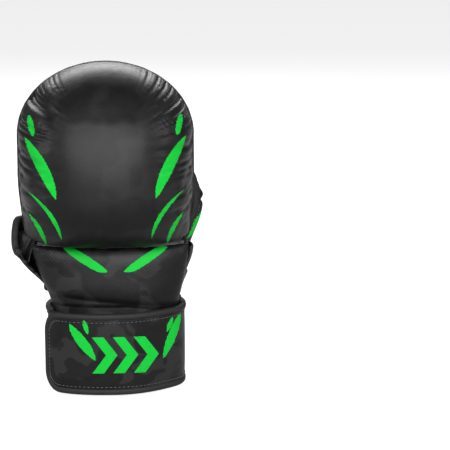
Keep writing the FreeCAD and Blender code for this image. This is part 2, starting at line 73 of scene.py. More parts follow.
# ---------------------------------------------------------------- sizes of the frame, in millimetres
HOOD_LOW, HOOD_HIGH = box_mm("knuckle_cover")
FLAP_LOW, FLAP_HIGH = box_mm("strap_flap_binding")
ROLL_LOW, ROLL_HIGH = box_mm("grip_roll_cover")
GUARD_LOW, GUARD_HIGH = box_mm("thumb_binding")
PANEL_LOW, PANEL_HIGH = box_mm("back_panel_cover")

BINDING = 5.0
CREASE_Z = PANEL_HIGH.z
HOOD_BOTTOM = HOOD_LOW.z
HOOD_TOP = HOOD_HIGH.z
HOOD_X = (HOOD_LOW.x + HOOD_HIGH.x) / 2
HOOD_HALF = (HOOD_HIGH.x - HOOD_LOW.x) / 2
INNER_HALF = HOOD_HALF - 6
INNER_TOP = HOOD_TOP - 7
ARCH_Z, INNER_ARCH_Z = HOOD_TOP - 58, HOOD_TOP - 62
STRAP_LOW, STRAP_HIGH = FLAP_LOW.z, FLAP_HIGH.z
STRAP_MIDDLE = (STRAP_LOW + STRAP_HIGH) / 2
CUFF_MEAN = STRAP_HIGH + 6
WRAP_LOW = CREASE_Z - 29
STRIP_TOP = ROLL_LOW.z - 0.3
SLEEVE_TOP = HOOD_TOP - 39
THUMB_BOTTOM = WRAP_LOW + 4
FOLDS = [HOOD_X + share * INNER_HALF for share in (-0.29, 0.21, 0.62)]
BACK_ANGLES = (201.0, 339.0)
HINGE, FLAP_END = -8.0, -150.0
SEEN = (cos(radians(12)), sin(radians(12)))   # the printed pattern is laid on at this slant
# where each print is laid out: half its width, its foot and its top
HOOD_AREA = (HOOD_HALF, HOOD_BOTTOM, HOOD_TOP)
PANEL_AREA = ((PANEL_HIGH.x - PANEL_LOW.x) / 2, STRAP_HIGH, CREASE_Z)
STRAP_AREA = ((FLAP_HIGH.x - FLAP_LOW.x) / 2, STRAP_LOW, STRAP_HIGH)
GUARD_AREA = (GUARD_HIGH.x, GUARD_LOW.z, GUARD_HIGH.z)


def mix(low, high, share):
    return low + (high - low) * share


def clamp(value, low=0.0, high=1.0):
    return min(high, max(low, value))


def ease(share):
    share = clamp(share)
    return share * share * (3 - 2 * share)


def around(turn, power):
    across, deep = cos(turn), sin(turn)
    reach = (abs(across) ** power + abs(deep) ** power) ** (-1.0 / power)
    return across * reach, deep * reach


def half_round(share, power=2.0):
    return max(0.0, 1 - abs(share) ** power) ** (1.0 / power)


def dome(share):
    return 1 - min(1.0, abs(share)) ** 4


# ---------------------------------------------------------------- the four curved layers
def on_tube(angle, z, out):
    """A point of the cuff, out millimetres outside the inner face of its lining."""
    share = ease((z - STRAP_HIGH + 12) / (CREASE_Z - STRAP_HIGH + 16))
    across, deep = around(radians(angle), 2.4)
    half = mix(46.0, 57.0 if across > 0 else 66.0, share) + out
    depth = (mix(25.0, 18.0, share) if deep < 0 else mix(26.0, 34.0, share)) + out
    return Vector((half * across, depth * deep, z))


def cuff_top(angle):
    return CUFF_MEAN - 6 * cos(radians(angle))


def back_thick(angle, z):
    up = (z - cuff_top(angle)) / (CREASE_Z - cuff_top(angle))
    return mix(7.0, 12.0, dome(2 * clamp(up) - 1) * dome((angle - 270) / 69))


def wrap_top(angle):
    share = ease((angle - 73) / 89)
    return mix(WRAP_LOW, CREASE_Z + 14, share) - 23 * ease((angle - 163) / 24)


def wrap_in(angle, z):
    return 3 + ease((angle - 118) / 55) * ease((z - CUFF_MEAN - 4) / 40) * 13.3


def thenar_in(angle, z):
    return 3 + 9 * ease((angle + 5) / 40) * ease((z - CUFF_MEAN) / 20)


def strap_in(angle):
    return 6.2 + ease((-40 - angle) / 52) * 8.3


def rim_y(z):
    return 6 + 8 * (z - HOOD_BOTTOM) / (HOOD_TOP - HOOD_BOTTOM)


def waist(z):
    return 4 * ease((HOOD_BOTTOM + 52 - z) / 52)


def hood_half(z):
    return HOOD_HALF * half_round(max(0, z - ARCH_Z) / 58) - waist(z)


def hood_depth(z):
    bulge = HOOD_BOTTOM + 44
    if z >= bulge:
        return 78 * half_round((z - bulge) / (HOOD_TOP - bulge), 2.3)
    return 78 * half_round((bulge - z) / 50, 2.3)


def hand_half(z):
    return INNER_HALF * half_round(max(0, z - INNER_ARCH_Z) / (INNER_TOP - INNER_ARCH_Z)) - waist(z)


def hand_depth(z):
    curl = half_round(max(0, z - HOOD_TOP + 75) / 68)
    return (rim_y(z) + 18) * curl


def hood_skin(a, b, outer):
    """A point of the hood's inner or outer face: a from little finger to thumb, b from crease to top."""
    half, arch, top = (HOOD_HALF, ARCH_Z, HOOD_TOP) if outer else (INNER_HALF, INNER_ARCH_Z, INNER_TOP)
    side = sin(pi / 2 * (2 * a - 1))
    if b < 0.45:
        z = mix(HOOD_BOTTOM + 6 * abs(side) ** 3, arch, b / 0.45)
        x = (half - waist(z)) * side
    else:
        rise = sin(pi / 2 * (b - 0.45) / 0.55)
        x = half * side * sqrt(1 - rise * rise / 2)
        z = arch + (top - arch) * rise * sqrt(1 - side * side / 2)
    half, depth = (hood_half(z), hood_depth(z)) if outer else (hand_half(z), hand_depth(z))
    share = min(1.0, abs(x) / max(half, 0.001))
    return Vector((HOOD_X + x, rim_y(z) - depth * half_round(share, 2.3), z))


def lining_y(x, z):
    return rim_y(z) - hand_depth(z) * half_round((x - HOOD_X) / hand_half(z), 2.3)


def palm_y(x):
    return rim_y(STRIP_TOP) + 14 * half_round((x - HOOD_X) / INNER_HALF)


def strip_low(x):
    return HOOD_BOTTOM + mix(47, 33, (x - HOOD_X + INNER_HALF) / (2 * INNER_HALF))


def rim_path(share, middle=69.0):
    """The middle of the rim from the little finger's lower corner over the top to the thumb's, and
    the direction out of the hand there."""
    arch = mix(INNER_ARCH_Z, ARCH_Z, 0.5)
    top = mix(INNER_TOP, HOOD_TOP, 0.5) - arch
    low = HOOD_BOTTOM + 6
    if share < 0.18 or share > 0.82:
        z = mix(low, arch, min(share, 1 - share) / 0.18)
        sign = -1 if share < 0.5 else 1
        return Vector((HOOD_X + sign * (middle - waist(z)), rim_y(z), z)), Vector((sign, 0, 0))
    turn = pi * (1 - (share - 0.18) / 0.64)
    z = arch + top * sin(turn)
    out = Vector((top * cos(turn), 0, middle * sin(turn))).normalized()
    return Vector((HOOD_X + middle * cos(turn), rim_y(z), z)), out


def guard_edge(turn):
    if turn < pi / 2:
        return 90 + 62 * cos(turn), THUMB_BOTTOM + 86 * half_round(cos(turn), 2.6)
    return 90 + 115 * cos(turn), THUMB_BOTTOM + 86 * sin(turn)


def on_guard(angle, z, out):
    right = mix(50.0, 65.0, ease((z - THUMB_BOTTOM) / 55))
    half = (right - 16.8) / (1 - around(radians(152), 3)[0])
    across, deep = around(radians(angle), 3)
    return Vector((right - half + (half + out) * across, 30 + (14 + out) * deep, z))


# ---------------------------------------------------------------- making and finishing a piece
def grid(across, along, place, size=(1.0, 1.0), inside=None, close=False):
    """A sewn sheet: a grid laid at place(a, b), for a and b from 0 to 1, in millimetres.

    Its map holds a and b times size, in metres. Open sheets face away from inside, and closed ones
    are merged along their seam and face outwards."""
    bm = bmesh.new()
    layer = bm.loops.layers.uv.new("cloth")
    bmesh.ops.create_grid(bm, x_segments=across, y_segments=along, size=0.5, calc_uvs=True)
    for vert in bm.verts:
        for loop in vert.link_loops:
            loop[layer].uv = ((vert.co.x + 0.5) * size[0] * MM, (vert.co.y + 0.5) * size[1] * MM)
    for vert in bm.verts:
        vert.co = Vector(place(vert.co.x + 0.5, vert.co.y + 0.5)) * MM
    if close:
        bmesh.ops.remove_doubles(bm, verts=bm.verts, dist=1e-6)
        bmesh.ops.dissolve_degenerate(bm, dist=1e-7, edges=bm.edges)
    bm.normal_update()
    if close == "shell":
        bmesh.ops.recalc_face_normals(bm, faces=bm.faces)
    else:
        total = 0.0
        for face in bm.faces:
            middle = face.calc_center_median()
            centre = Vector(inside) * MM if inside else Vector((0, 0, middle.z))
            total += (middle - centre).dot(face.normal) * face.calc_area()
        if total < 0:
            bmesh.ops.reverse_faces(bm, faces=bm.faces)
    return bm


def add_piece(name, bm, finish, body=None, stands_for=(), wall=0.0, offset=-1.0, levels=0):
    """A finished piece at the origin. With a body it rides on it."""
    mesh = bpy.data.meshes.new(name)
    bm.to_mesh(mesh)
    bm.free()
    mesh.shade_smooth()
    mesh.materials.append(finish)
    obj = bpy.data.objects.new(name, mesh)
    bpy.context.scene.collection.objects.link(obj)
    if wall:
        solid = obj.modifiers.new("wall", "SOLIDIFY")
        solid.thickness, solid.offset, solid.use_even_offset = wall * MM, offset, False
    if levels:
        rounding = obj.modifiers.new("rounding", "SUBSURF")
        rounding.levels = rounding.render_levels = levels
    if stands_for:
        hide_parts(*stands_for)
    if body:
        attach(obj, body)
    return obj


def apply_modifiers(obj):
    """The piece's mesh becomes what its modifiers make of it."""
    bpy.context.view_layer.update()
    done = bpy.data.meshes.new_from_object(obj.evaluated_get(bpy.context.evaluated_depsgraph_get()))
    obj.modifiers.clear()
    old, obj.data = obj.data, done
    bpy.data.meshes.remove(old)


def swell(obj, pinned, cap, pressure=4.0, shrink=-0.02, frames=16, smooth=5):
    """Cloth fills out the padded cover. pinned gives each point's hold from its place in
    millimetres, and no point moves further than cap."""
    mesh = obj.data
    rest = [vert.co.copy() for vert in mesh.vertices]
    group = obj.vertex_groups.new(name="seam")
    for vert in mesh.vertices:
        group.add([vert.index], clamp(pinned(vert.co / MM)), "REPLACE")
    cloth = obj.modifiers.new("filling", "CLOTH")
    cloth.settings.vertex_group_mass = "seam"
    cloth.settings.use_pressure = True
    cloth.settings.uniform_pressure_force = pressure
    cloth.settings.shrink_min = shrink
    cloth.settings.tension_stiffness = cloth.settings.compression_stiffness = 30
    cloth.settings.bending_stiffness = 3
    cloth.settings.quality = 6
    cloth.settings.effector_weights.gravity = 0
    cloth.point_cache.frame_start, cloth.point_cache.frame_end = 1, frames
    scene = bpy.context.scene
    for number in range(1, frames + 1):
        scene.frame_set(number)
    shaped = obj.evaluated_get(bpy.context.evaluated_depsgraph_get()).to_mesh()
    moved = [vert.co.copy() for vert in shaped.vertices]
    obj.modifiers.remove(cloth)
    scene.frame_set(1)
    steps = [end - start for start, end in zip(rest, moved)]
    ties = [[] for _ in steps]
    for edge in mesh.edges:
        one, other = edge.vertices
        ties[one].append(other)
        ties[other].append(one)
    for _ in range(smooth):
        steps = [(step + sum((steps[other] for other in near), Vector())) / (len(near) + 1)
                 for step, near in zip(steps, ties)]
    for vert, start, step in zip(mesh.vertices, rest, steps):
        if step.length > cap * MM:
            step = step * (cap * MM / step.length)
        vert.co = start + step
    obj.vertex_groups.clear()


def crease(obj, depth_at):
    """Presses each point in along its normal by depth_at(place), in millimetres."""
    mesh = obj.data
    normals = [Vector(item.vector) for item in mesh.vertex_normals]
    places = [vert.co / MM for vert in mesh.vertices]
    for vert, normal, place in zip(mesh.vertices, normals, places):
        vert.co -= normal * (depth_at(place) * MM)


def fold_lines(s, t, seed, width=0.16):
    """Narrow valleys, 0 to 1, where a stretched noise changes sign: the creases of gathered leather."""
    value = noise.noise(Vector((s, t, seed)))
    return max(0.0, 1 - abs(value) / width) ** 1.5


def roll_section(centre, out, up, half_out, half_up, turn, power=2.6):
    """A point of a binding's rounded section."""
    across, deep = around(turn, power)
    return centre + out * (half_out * across) + up * (half_up * deep)


def binding_roll(name, path, finish, body, stands_for=(), steps=90, length=200.0, pucker=None,
                 ends=True, sides=14, closed=False):
    """A rolled binding along path(a) -> centre, out, up, half_out, half_up. Its ends are rounded shut."""
    def place(a, b):
        centre, out, up, half_out, half_up = path(a)
        if ends and not closed:
            near = min(a, 1 - a) * length
            close = half_round(clamp(1 - near / (half_up * 1.2)))
            half_out, half_up = half_out * close, half_up * close
        grow = 1 + (pucker(a, b) if pucker else 0.0)
        turn = 2 * pi * b
        return roll_section(centre, out, up, half_out * grow, half_up * grow, turn)
    bm = grid(steps, sides, place, (length, 18.0), close="shell")
    return add_piece(name, bm, finish, body, stands_for)


def stitches(name, path, count, finish, body, length=None, thick=None, sink=0.1):
    """A line of stitches along path(a) -> place, outward direction. Each is a small bead of thread."""
    sizes = bpy.context.scene.glove_sizes
    length = length or sizes.stitch / MM
    thick = thick or sizes.thread / MM
    bm = bmesh.new()
    for number in range(count):
        a = (number + 0.5) / count
        place, out = path(a)
        ahead = path(min(1.0, a + 0.25 / count))[0] - path(max(0.0, a - 0.25 / count))[0]
        if ahead.length < 1e-6:
            continue
        ahead.normalize()
        out = (out - ahead * out.dot(ahead)).normalized()
        side = out.cross(ahead)
        bead = bmesh.ops.create_uvsphere(bm, u_segments=6, v_segments=4, radius=1.0)["verts"]
        for vert in bead:
            co = vert.co
            vert.co = (place + ahead * (co.z * length / 2) + side * (co.x * thick)
                       + out * (co.y * thick - sink)) * MM
    bmesh.ops.recalc_face_normals(bm, faces=bm.faces)
    return add_piece(name, bm, finish, body)


# ---------------------------------------------------------------- shader maths
class Strand:
    """One value in a finish. Arithmetic on it adds the Math nodes."""

    def __init__(self, tree, socket):
        self.tree, self.socket = tree, socket

    def math(self, operation, *values):
        node = self.tree.nodes.new("ShaderNodeMath")
        node.operation = operation
        for socket, value in zip(node.inputs, values):
            feed(self.tree, socket, value)
        return Strand(self.tree, node.outputs[0])

    def __add__(self, other): return self.math("ADD", self, other)
    def __radd__(self, other): return self.math("ADD", other, self)
    def __sub__(self, other): return self.math("SUBTRACT", self, other)
    def __rsub__(self, other): return self.math("SUBTRACT", other, self)
    def __mul__(self, other): return self.math("MULTIPLY", self, other)
    def __rmul__(self, other): return self.math("MULTIPLY", other, self)
    def __truediv__(self, other): return self.math("DIVIDE", self, other)
    def __gt__(self, other): return self.math("GREATER_THAN", self, other)
    def __lt__(self, other): return self.math("LESS_THAN", self, other)
    def __abs__(self): return self.math("ABSOLUTE", self)
    def __mod__(self, other): return self.math("FLOORED_MODULO", self, other)
    def __or__(self, other): return self.math("MAXIMUM", self, other)
    def __pow__(self, other): return self.math("POWER", self, other)
    def clamped(self): return self.math("MINIMUM", self.math("MAXIMUM", self, 0.0), 1.0)


def feed(tree, socket, value):
    if isinstance(value, Strand):
        tree.links.new(value.socket, socket)
    else:
        socket.default_value = value


class Recipe:
    """One finish being put together."""

    def __init__(self, name):
        self.material = bpy.data.materials.new(name)
        self.material.use_nodes = True
        self.tree = self.material.node_tree
        self.tree.nodes.clear()
        self.place = self.node("ShaderNodeTexCoord", out="Object")
        self.x, self.y, self.z = self.split(self.place)

    def node(self, kind, settings=None, values=None, out=0):
        """Any node: its settings go in first, then its sockets' values and links."""
        node = self.tree.nodes.new(kind)
        for key, value in (settings or {}).items():
            if key == "stops":
                ramp = node.color_ramp.elements
                while len(ramp) < len(value):
                    ramp.new(0.5)
                for element, (position, colour) in zip(ramp, value):
                    element.position, element.color = position, colour
            elif key == "points":
                curve = node.mapping.curves[0]
                while len(curve.points) < len(value):
                    curve.points.new(0.5, 0.5)
                for point, (across, up) in zip(curve.points, value):
                    point.location, point.handle_type = (across, up), "VECTOR"
                node.mapping.update()
            else:
                setattr(node, key, value)
        for key, value in (values or {}).items():
            feed(self.tree, node.inputs[key], value)
        return Strand(self.tree, node.outputs[out])

    def split(self, vector):
        node = self.tree.nodes.new("ShaderNodeSeparateXYZ")
        feed(self.tree, node.inputs[0], vector)
        return [Strand(self.tree, socket) for socket in node.outputs]

    def cloth_map(self):
        """The piece's own map: metres along and across it."""
        return self.split(self.node("ShaderNodeUVMap", {"uv_map": "cloth"}))[:2]

    def mottle(self, scale, detail=2.0, rough=0.5, vector=None):
        return self.node("ShaderNodeTexNoise", {}, {"Vector": vector or self.place, "Scale": scale,
                                                     "Detail": detail, "Roughness": rough})

    def blend(self, share, low, high):
        """Between two colours."""
        return self.node("ShaderNodeMix", {"data_type": "RGBA"}, {0: share, 6: low, 7: high}, out=2)

    def step(self, value, low, high):
        """0 below low, 1 above high."""
        return self.node("ShaderNodeMapRange", {"interpolation_type": "SMOOTHSTEP"},
                         {"Value": value, "From Min": low, "From Max": high})

    def bump(self, height, distance, strength=1.0, normal=None):
        values = {"Height": height, "Distance": distance, "Strength": strength}
        if normal is not None:
            values["Normal"] = normal
        return self.node("ShaderNodeBump", {}, values)

    def finish(self, **sockets):
        shader = self.node("ShaderNodeBsdfPrincipled", {}, {k.replace("_", " "): v
                                                             for k, v in sockets.items()})
        output = self.tree.nodes.new("ShaderNodeOutputMaterial")
        self.tree.links.new(shader.socket, output.inputs["Surface"])
        return self.material


def tone(value, alpha=1.0):
    return (value, value, value, alpha)


# Printed slashes: (top, foot, breadth, bow, bluntness). Top and foot are (across, up) as
# shares of the piece they are printed on, breadth and bow are millimetres, and a blunt slash has square ends.
HOOD_SLASHES = (
    ((0.85, 0.72), (0.80, 0.60), 5.0, 0.0, 0.4),
    ((0.90, 0.60), (0.55, 0.25), 10.0, 2.0, 0.8),
    ((0.87, 0.30), (0.50, 0.03), 4.0, 5.0, 0.8),
    ((0.87, 0.18), (0.68, 0.00), 4.0, 2.0, 0.8),
)
PANEL_SLASHES = (
    ((0.60, 1.00), (0.15, 0.60), 13.0, 0.0, 0.25),
)
STRAP_SLASHES = (
    ((-0.65, 0.85), (-0.30, 0.40), 10.0, 0.0, 0.8),
    ((-0.45, 0.90), (-0.40, 0.72), 4.0, 0.0, 0.8),
    ((0.90, 0.95), (0.65, 0.40), 8.0, 0.0, 0.8),
    ((0.78, 0.90), (0.70, 0.72), 4.0, 0.0, 0.8),
)
STRAP_PALM_SLASHES = (
    ((-0.10, 0.85), (0.45, 0.12), 11.0, 0.0, 0.8),
    ((0.85, 0.55), (0.95, 0.30), 5.0, 0.0, 0.8),
)
THENAR_SLASHES = (
    ((0.35, 0.95), (0.60, 0.25), 12.0, 0.0, 0.35),
)
GUARD_SLASHES = (
    ((0.78, 0.88), (0.95, 0.62), 6.0, 0.0, 0.8),
    ((0.35, 0.15), (0.50, -0.15), 9.0, 0.0, 0.4),
)


def slashes(r, rows, across, up, half, low, high):
    """1 inside any slash. across and up are metres on the piece; half, low and high are its sizes in mm."""
    ragged = r.mottle(520, 1.0) * 1.6 - 0.8
    place = across / MM + ragged
    total = None
    for top, foot, breadth, bow, blunt in rows:
        foot_z, top_z = mix(low, high, foot[1]), mix(low, high, top[1])
        share = (up / MM - foot_z) / (top_z - foot_z)
        inner = share.clamped()
        swell_out = inner * (1.0 - inner) * 4.0
        middle = mix(0.0, half, foot[0]) + inner * (half * (top[0] - foot[0])) - swell_out * bow
        inside = (abs(place - middle) < swell_out ** blunt * (breadth / 2)) * (share > 0.0) * (share < 1.0)
        total = inside if total is None else total | inside
    return total


def seen_height(recipe, palm=False):
    """The height at which the print is laid on: it runs a little down the front of each bulge."""
    if palm:
        return recipe.z * SEEN[0] - recipe.y * SEEN[1] + 0.0058
    return recipe.z * SEEN[0] + recipe.y * SEEN[1] + 0.0074


def leather_bump(recipe, grain=0.00006, wrinkle=0.0002, wrinkle_scale=60.0):
    """Pebbled grain over shallow creases."""
    pebbles = recipe.node("ShaderNodeTexVoronoi", {"feature": "F1"},
                          {"Vector": recipe.place, "Scale": 1100.0})
    base = recipe.bump(recipe.mottle(wrinkle_scale, 4.0, 0.6), wrinkle)
    return recipe.bump(pebbles, grain, 1.0, base)


def printed_leather(name, rows=(), mirror=None, palm=False, area=(1.0, 0.0, 1.0), emblem=False,
                    dots=(0.46, 0.60), patch_scale=34.0, front_only=None,
                    patch_share=1.0, side_band=False):
    """Satin leather printed with tonal patches, halftone dots and bright flashes; the flashes also glow faintly,
    which is painted light.
    """
    look = bpy.context.scene.glove_look
    r = Recipe(name)
    cells = r.mottle(patch_scale, 1.5, 0.45)
    other = r.mottle(patch_scale * 1.7, 1.0, 0.4, r.node("ShaderNodeMapping", {},
                     {"Vector": r.place, "Location": (0.31, 0.17, 0.55), "Scale": (1.0, 1.0, 1.5)}))
    base = r.blend(r.step(cells, 0.51, 0.55) * patch_share, (*look.leather, 1), (*look.patch, 1))
    base = r.blend(r.step(other, 0.55, 0.58) * (0.8 * patch_share), base, (*look.dark_patch, 1))
    # halftone dots fade in and out over the print
    pitch = 0.0021
    u = ((r.x + r.z) / (pitch * 1.414)) % 1.0 - 0.5
    v = ((r.x - r.z) / (pitch * 1.414)) % 1.0 - 0.5
    radius = r.step(r.mottle(26.0, 1.0), dots[0], dots[1]) * 0.40
    dot = ((u * u + v * v) ** 0.5 < radius) * 0.9
    base = r.blend(dot, base, (*look.dot, 1))
    haze = r.mottle(180.0, 3.0)
    base = r.blend(haze * 0.3, base, tone(0.009))
    green = None
    height = seen_height(r, palm)
    if rows:
        across = abs(r.x - mirror * MM) if mirror is not None else r.x
        green = slashes(r, rows, across, height, *area)
        if front_only is not None:
            green = green * ((r.y < front_only * MM) if not palm else (r.y > front_only * MM))
    if side_band:
        slant = abs(r.y / MM - 27.0 - (r.z / MM - 128.0) * 0.75 + r.mottle(300.0) * 2.0)
        green = green | (slant < 4.5) * (r.x > 0.058) * (r.z < 0.139) * (r.z > 0.116)
    if emblem:
        mark = chevrons(r, height)
        green = mark if green is None else green | mark
    rough = 0.42 + haze * 0.1
    coat = 0.04
    if green is not None:
        worn = r.step(r.mottle(300.0, 3.0, 0.65), 0.34, 0.40)
        ink = r.blend(r.mottle(90.0, 2.0) * 0.5, (*look.flash, 1), (*look.flash_shade, 1))
        base = r.blend(green * (0.82 + worn * 0.18), base, ink)
        rough = rough + green * 0.25
    normal = leather_bump(r)
    sockets = {}
    # The green flashes also glow faintly through emission: painted light that keeps them bright where they are in
    # shade.
    if green is not None:
        sockets = {"Emission_Color": r.blend(green, tone(0.0), (*look.flash, 1)), "Emission_Strength": 0.1}
    return r.finish(Base_Color=base, Roughness=rough, Normal=normal, Specular_IOR_Level=0.14,
                    Coat_Weight=coat, Coat_Roughness=0.25, **sockets)


def chevrons(r, height):
    """Three plain chevrons side by side."""
    up = height / MM - 33.5
    across = r.x / MM + abs(up) * 0.75
    total = None
    for left in (-9.0, 8.0, 25.0):
        bar = (across > left) * (across < left + 9.5) * (abs(up) < 15.0)
        total = bar if total is None else total | bar
    return total


def plain_leather(name, value=None, rough=0.34, wrinkle=0.0006, scale=55.0, coat=0.05, gloss=0.16):
    """Plain black leather."""
    look = bpy.context.scene.glove_look
    r = Recipe(name)
    haze = r.mottle(70.0, 4.0, 0.6)
    base = r.blend(haze, (*(value or look.plain), 1), tone(0.012))
    scuff = r.step(r.mottle(240.0, 5.0, 0.7), 0.60, 0.72)
    base = r.blend(scuff * 0.4, base, tone(0.03))
    return r.finish(Base_Color=base, Roughness=rough + scuff * 0.2 + haze * 0.08,
                    Normal=leather_bump(r, 0.00005, wrinkle, scale), Specular_IOR_Level=gloss,
                    Coat_Weight=coat, Coat_Roughness=0.14)


def binding_tape(name):
    """Matte woven tape: a fine twill along the binding."""
    look = bpy.context.scene.glove_look
    r = Recipe(name)
    u, v = r.cloth_map()
    twill = abs(((u + v) / 0.0009) % 1.0 - 0.5) * 2.0
    cross = abs(((u - v * 2.0) / 0.0014) % 1.0 - 0.5) * 2.0
    weave = twill * 0.7 + cross * 0.3
    haze = r.mottle(60.0, 3.0)
    base = r.blend(weave * 0.5 + haze * 0.4, (*look.binding, 1), tone(0.017))
    pulls = r.bump(r.mottle(190.0, 3.0, 0.6), 0.0003)
    return r.finish(Base_Color=base, Roughness=0.52 + weave * 0.12,
                    Normal=r.bump(weave, 0.00008, 1.0, pulls), Specular_IOR_Level=0.14)


def brushed_lining(name):
    """Soft brushed cloth with a short nap."""
    look = bpy.context.scene.glove_look
    r = Recipe(name)
    nap = r.mottle(900.0, 2.0, 0.6)
    drift = r.mottle(45.0, 3.0, 0.5)
    pills = r.step(r.mottle(420.0, 1.0), 0.66, 0.74)
    base = r.blend(nap * 0.5 + drift * 0.5, (*look.lining, 1), tone(0.055))
    base = r.blend(pills * 0.3, base, tone(0.08))
    return r.finish(Base_Color=base, Roughness=0.82 + nap * 0.12, Sheen_Weight=0.28,
                    Sheen_Roughness=0.45, Normal=r.bump(nap, 0.00022), Specular_IOR_Level=0.25)


def thread(name, value=0.035):
    r = Recipe(name)
    twist = abs(((r.x + r.z + r.y) / 0.0005) % 1.0 - 0.5) * 2.0
    base = r.blend(twist, tone(value * 0.5), tone(value))
    return r.finish(Base_Color=base, Roughness=0.55 + twist * 0.1, Normal=r.bump(twist, 0.00005))


def hook_and_loop(name, value, scale):
    """Dense hooks or loops on their woven tape."""
    r = Recipe(name)
    tufts = r.node("ShaderNodeTexVoronoi", {"feature": "F1"}, {"Vector": r.place, "Scale": scale})
    base = r.blend(r.step(tufts, 0.1, 0.6), tone(value * 1.8), tone(value * 0.5))
    return r.finish(Base_Color=base, Roughness=0.75 + tufts * 0.15, Normal=r.bump(tufts, -0.0006),
                    Sheen_Weight=0.2)


def woven_label(name):
    """Black satin tape woven with plain white blocks: no lettering."""
    look = bpy.context.scene.glove_look
    r = Recipe(name)
    low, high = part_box("size_label")
    u = (r.x - low[0]) / (high[0] - low[0])
    v = (r.z - low[2]) / (high[2] - low[2])
    frame_line = ((abs(u - 0.70) < 0.27) * (abs(v - 0.5) < 0.47)
                  * (1.0 - (abs(u - 0.70) < 0.235) * (abs(v - 0.5) < 0.455)))
    bars = (abs(u - 0.80) < 0.085) * (abs(v - 0.5) < 0.41) * (((v / 0.118) % 1.0) > 0.16)
    blocks = (abs(u - 0.585) < 0.075) * (abs(v - 0.5) < 0.41) * (((v / 0.164) % 1.0) > 0.12)
    stripe = (abs(u - 0.36) < 0.045) * (abs(v - 0.5) < 0.47)
    ticks = (abs(u - 0.18) < 0.035) * (abs(v - 0.5) < 0.45) * (((v / 0.055) % 1.0) > 0.45)
    white = (frame_line | bars) | (blocks | stripe) | ticks
    weave = abs(((r.x + r.z) / 0.0007) % 1.0 - 0.5) * 2.0
    base = r.blend(white, tone(0.018), (*look.label, 1))
    base = r.blend(weave * 0.15, base, tone(0.3))
    return r.finish(Base_Color=base, Roughness=0.5 + weave * 0.1, Normal=r.bump(weave, 0.00006))


FINISHES = {
    "hood_print": lambda n: printed_leather(n, HOOD_SLASHES, HOOD_X, area=HOOD_AREA, patch_scale=24.0,
                                            dots=(0.54, 0.66), patch_share=0.45),
    "panel_print": lambda n: printed_leather(n, PANEL_SLASHES, 0.0, area=PANEL_AREA, patch_scale=30.0),
    "flap_print": lambda n: printed_leather(n, STRAP_SLASHES, area=STRAP_AREA, emblem=True, dots=(0.62, 0.72)),
    "strap_print": lambda n: printed_leather(n, STRAP_PALM_SLASHES, palm=True, area=STRAP_AREA,
                                             front_only=0.0, dots=(0.64, 0.74)),
    "cuff_print": lambda n: printed_leather(n),
    "thenar_print": lambda n: printed_leather(n, THENAR_SLASHES, palm=True, area=PANEL_AREA,
                                              dots=(0.66, 0.76)),
    "guard_print": lambda n: printed_leather(n, GUARD_SLASHES, palm=True, area=GUARD_AREA,
                                             dots=(0.44, 0.56), front_only=24.0, side_band=True),
    "plain_leather": lambda n: plain_leather(n),
    "sleeve_leather": lambda n: plain_leather(n, (0.0035, 0.0035, 0.0037), rough=0.22, wrinkle=0.0026, scale=85.0,
                                               coat=0.3, gloss=0.45),
    "cut_edge": lambda n: plain_leather(n, (0.16, 0.16, 0.16), rough=0.6, coat=0.0),
    "binding_tape": binding_tape,
    "brushed_lining": brushed_lining,
    "thread": thread,
    "loop_pile": lambda n: hook_and_loop(n, 0.018, 900.0),
    "hook_tape": lambda n: hook_and_loop(n, 0.012, 700.0),
    "woven_label": woven_label,
}


def finish(name):
    """The named finish, made once."""
    return bpy.data.materials.get(name) or FINISHES[name](name)


# ---------------------------------------------------------------- settings
class GloveSizes(bpy.types.PropertyGroup):
    """Sizes of the sewing."""
    stitch: FloatProperty(name="Stitch length", description="Length of one stitch",
                          default=0.0026, min=0.001, max=0.006, unit="LENGTH")
    thread: FloatProperty(name="Thread radius", description="Half the thickness of the thread",
                          default=0.00042, min=0.0002, max=0.001, unit="LENGTH")
    rim_crease: FloatProperty(name="Rim creases", description="Depth of the creases round the hood's rim",
                              default=0.0035, min=0.0, max=0.006, unit="LENGTH")
    sleeve_crease: FloatProperty(name="Sleeve creases", description="Depth of the sleeves' creases",
                                 default=0.0021, min=0.0, max=0.004, unit="LENGTH")


class GloveLook(bpy.types.PropertyGroup):
    """Colours of the finishes."""
    leather: FloatVectorProperty(name="Leather", description="Ground of the printed leather",
                                 default=(0.0036, 0.0036, 0.0037), subtype="COLOR", min=0, max=1)
    patch: FloatVectorProperty(name="Pale patch", description="Paler patches of the print",
                               default=(0.012, 0.012, 0.0124), subtype="COLOR", min=0, max=1)
    dark_patch: FloatVectorProperty(name="Dark patch", description="Darker patches of the print",
                                    default=(0.0025, 0.0025, 0.0027), subtype="COLOR", min=0, max=1)
    dot: FloatVectorProperty(name="Dots", description="Halftone dots of the print",
                             default=(0.0015, 0.0015, 0.0016), subtype="COLOR", min=0, max=1)
    flash: FloatVectorProperty(name="Flash", description="Bright flashes",
                               default=(0.0003, 0.205, 0.02), subtype="COLOR", min=0, max=1)
    flash_shade: FloatVectorProperty(name="Flash shade", description="Shade mixed into the flashes",
                                     default=(0.0003, 0.17, 0.016), subtype="COLOR", min=0, max=1)
    plain: FloatVectorProperty(name="Plain leather", description="Palm and sleeve leather",
                               default=(0.006, 0.006, 0.0062), subtype="COLOR", min=0, max=1)
    binding: FloatVectorProperty(name="Binding", description="Rolled bindings",
                                 default=(0.008, 0.008, 0.0082), subtype="COLOR", min=0, max=1)
    lining: FloatVectorProperty(name="Lining", description="Brushed lining",
                                default=(0.030, 0.030, 0.0305), subtype="COLOR", min=0, max=1)
    label: FloatVectorProperty(name="Label", description="Pale blocks of the label",
                               default=(0.55, 0.55, 0.55), subtype="COLOR", min=0, max=1)


UP = Vector((0, 0, 1))


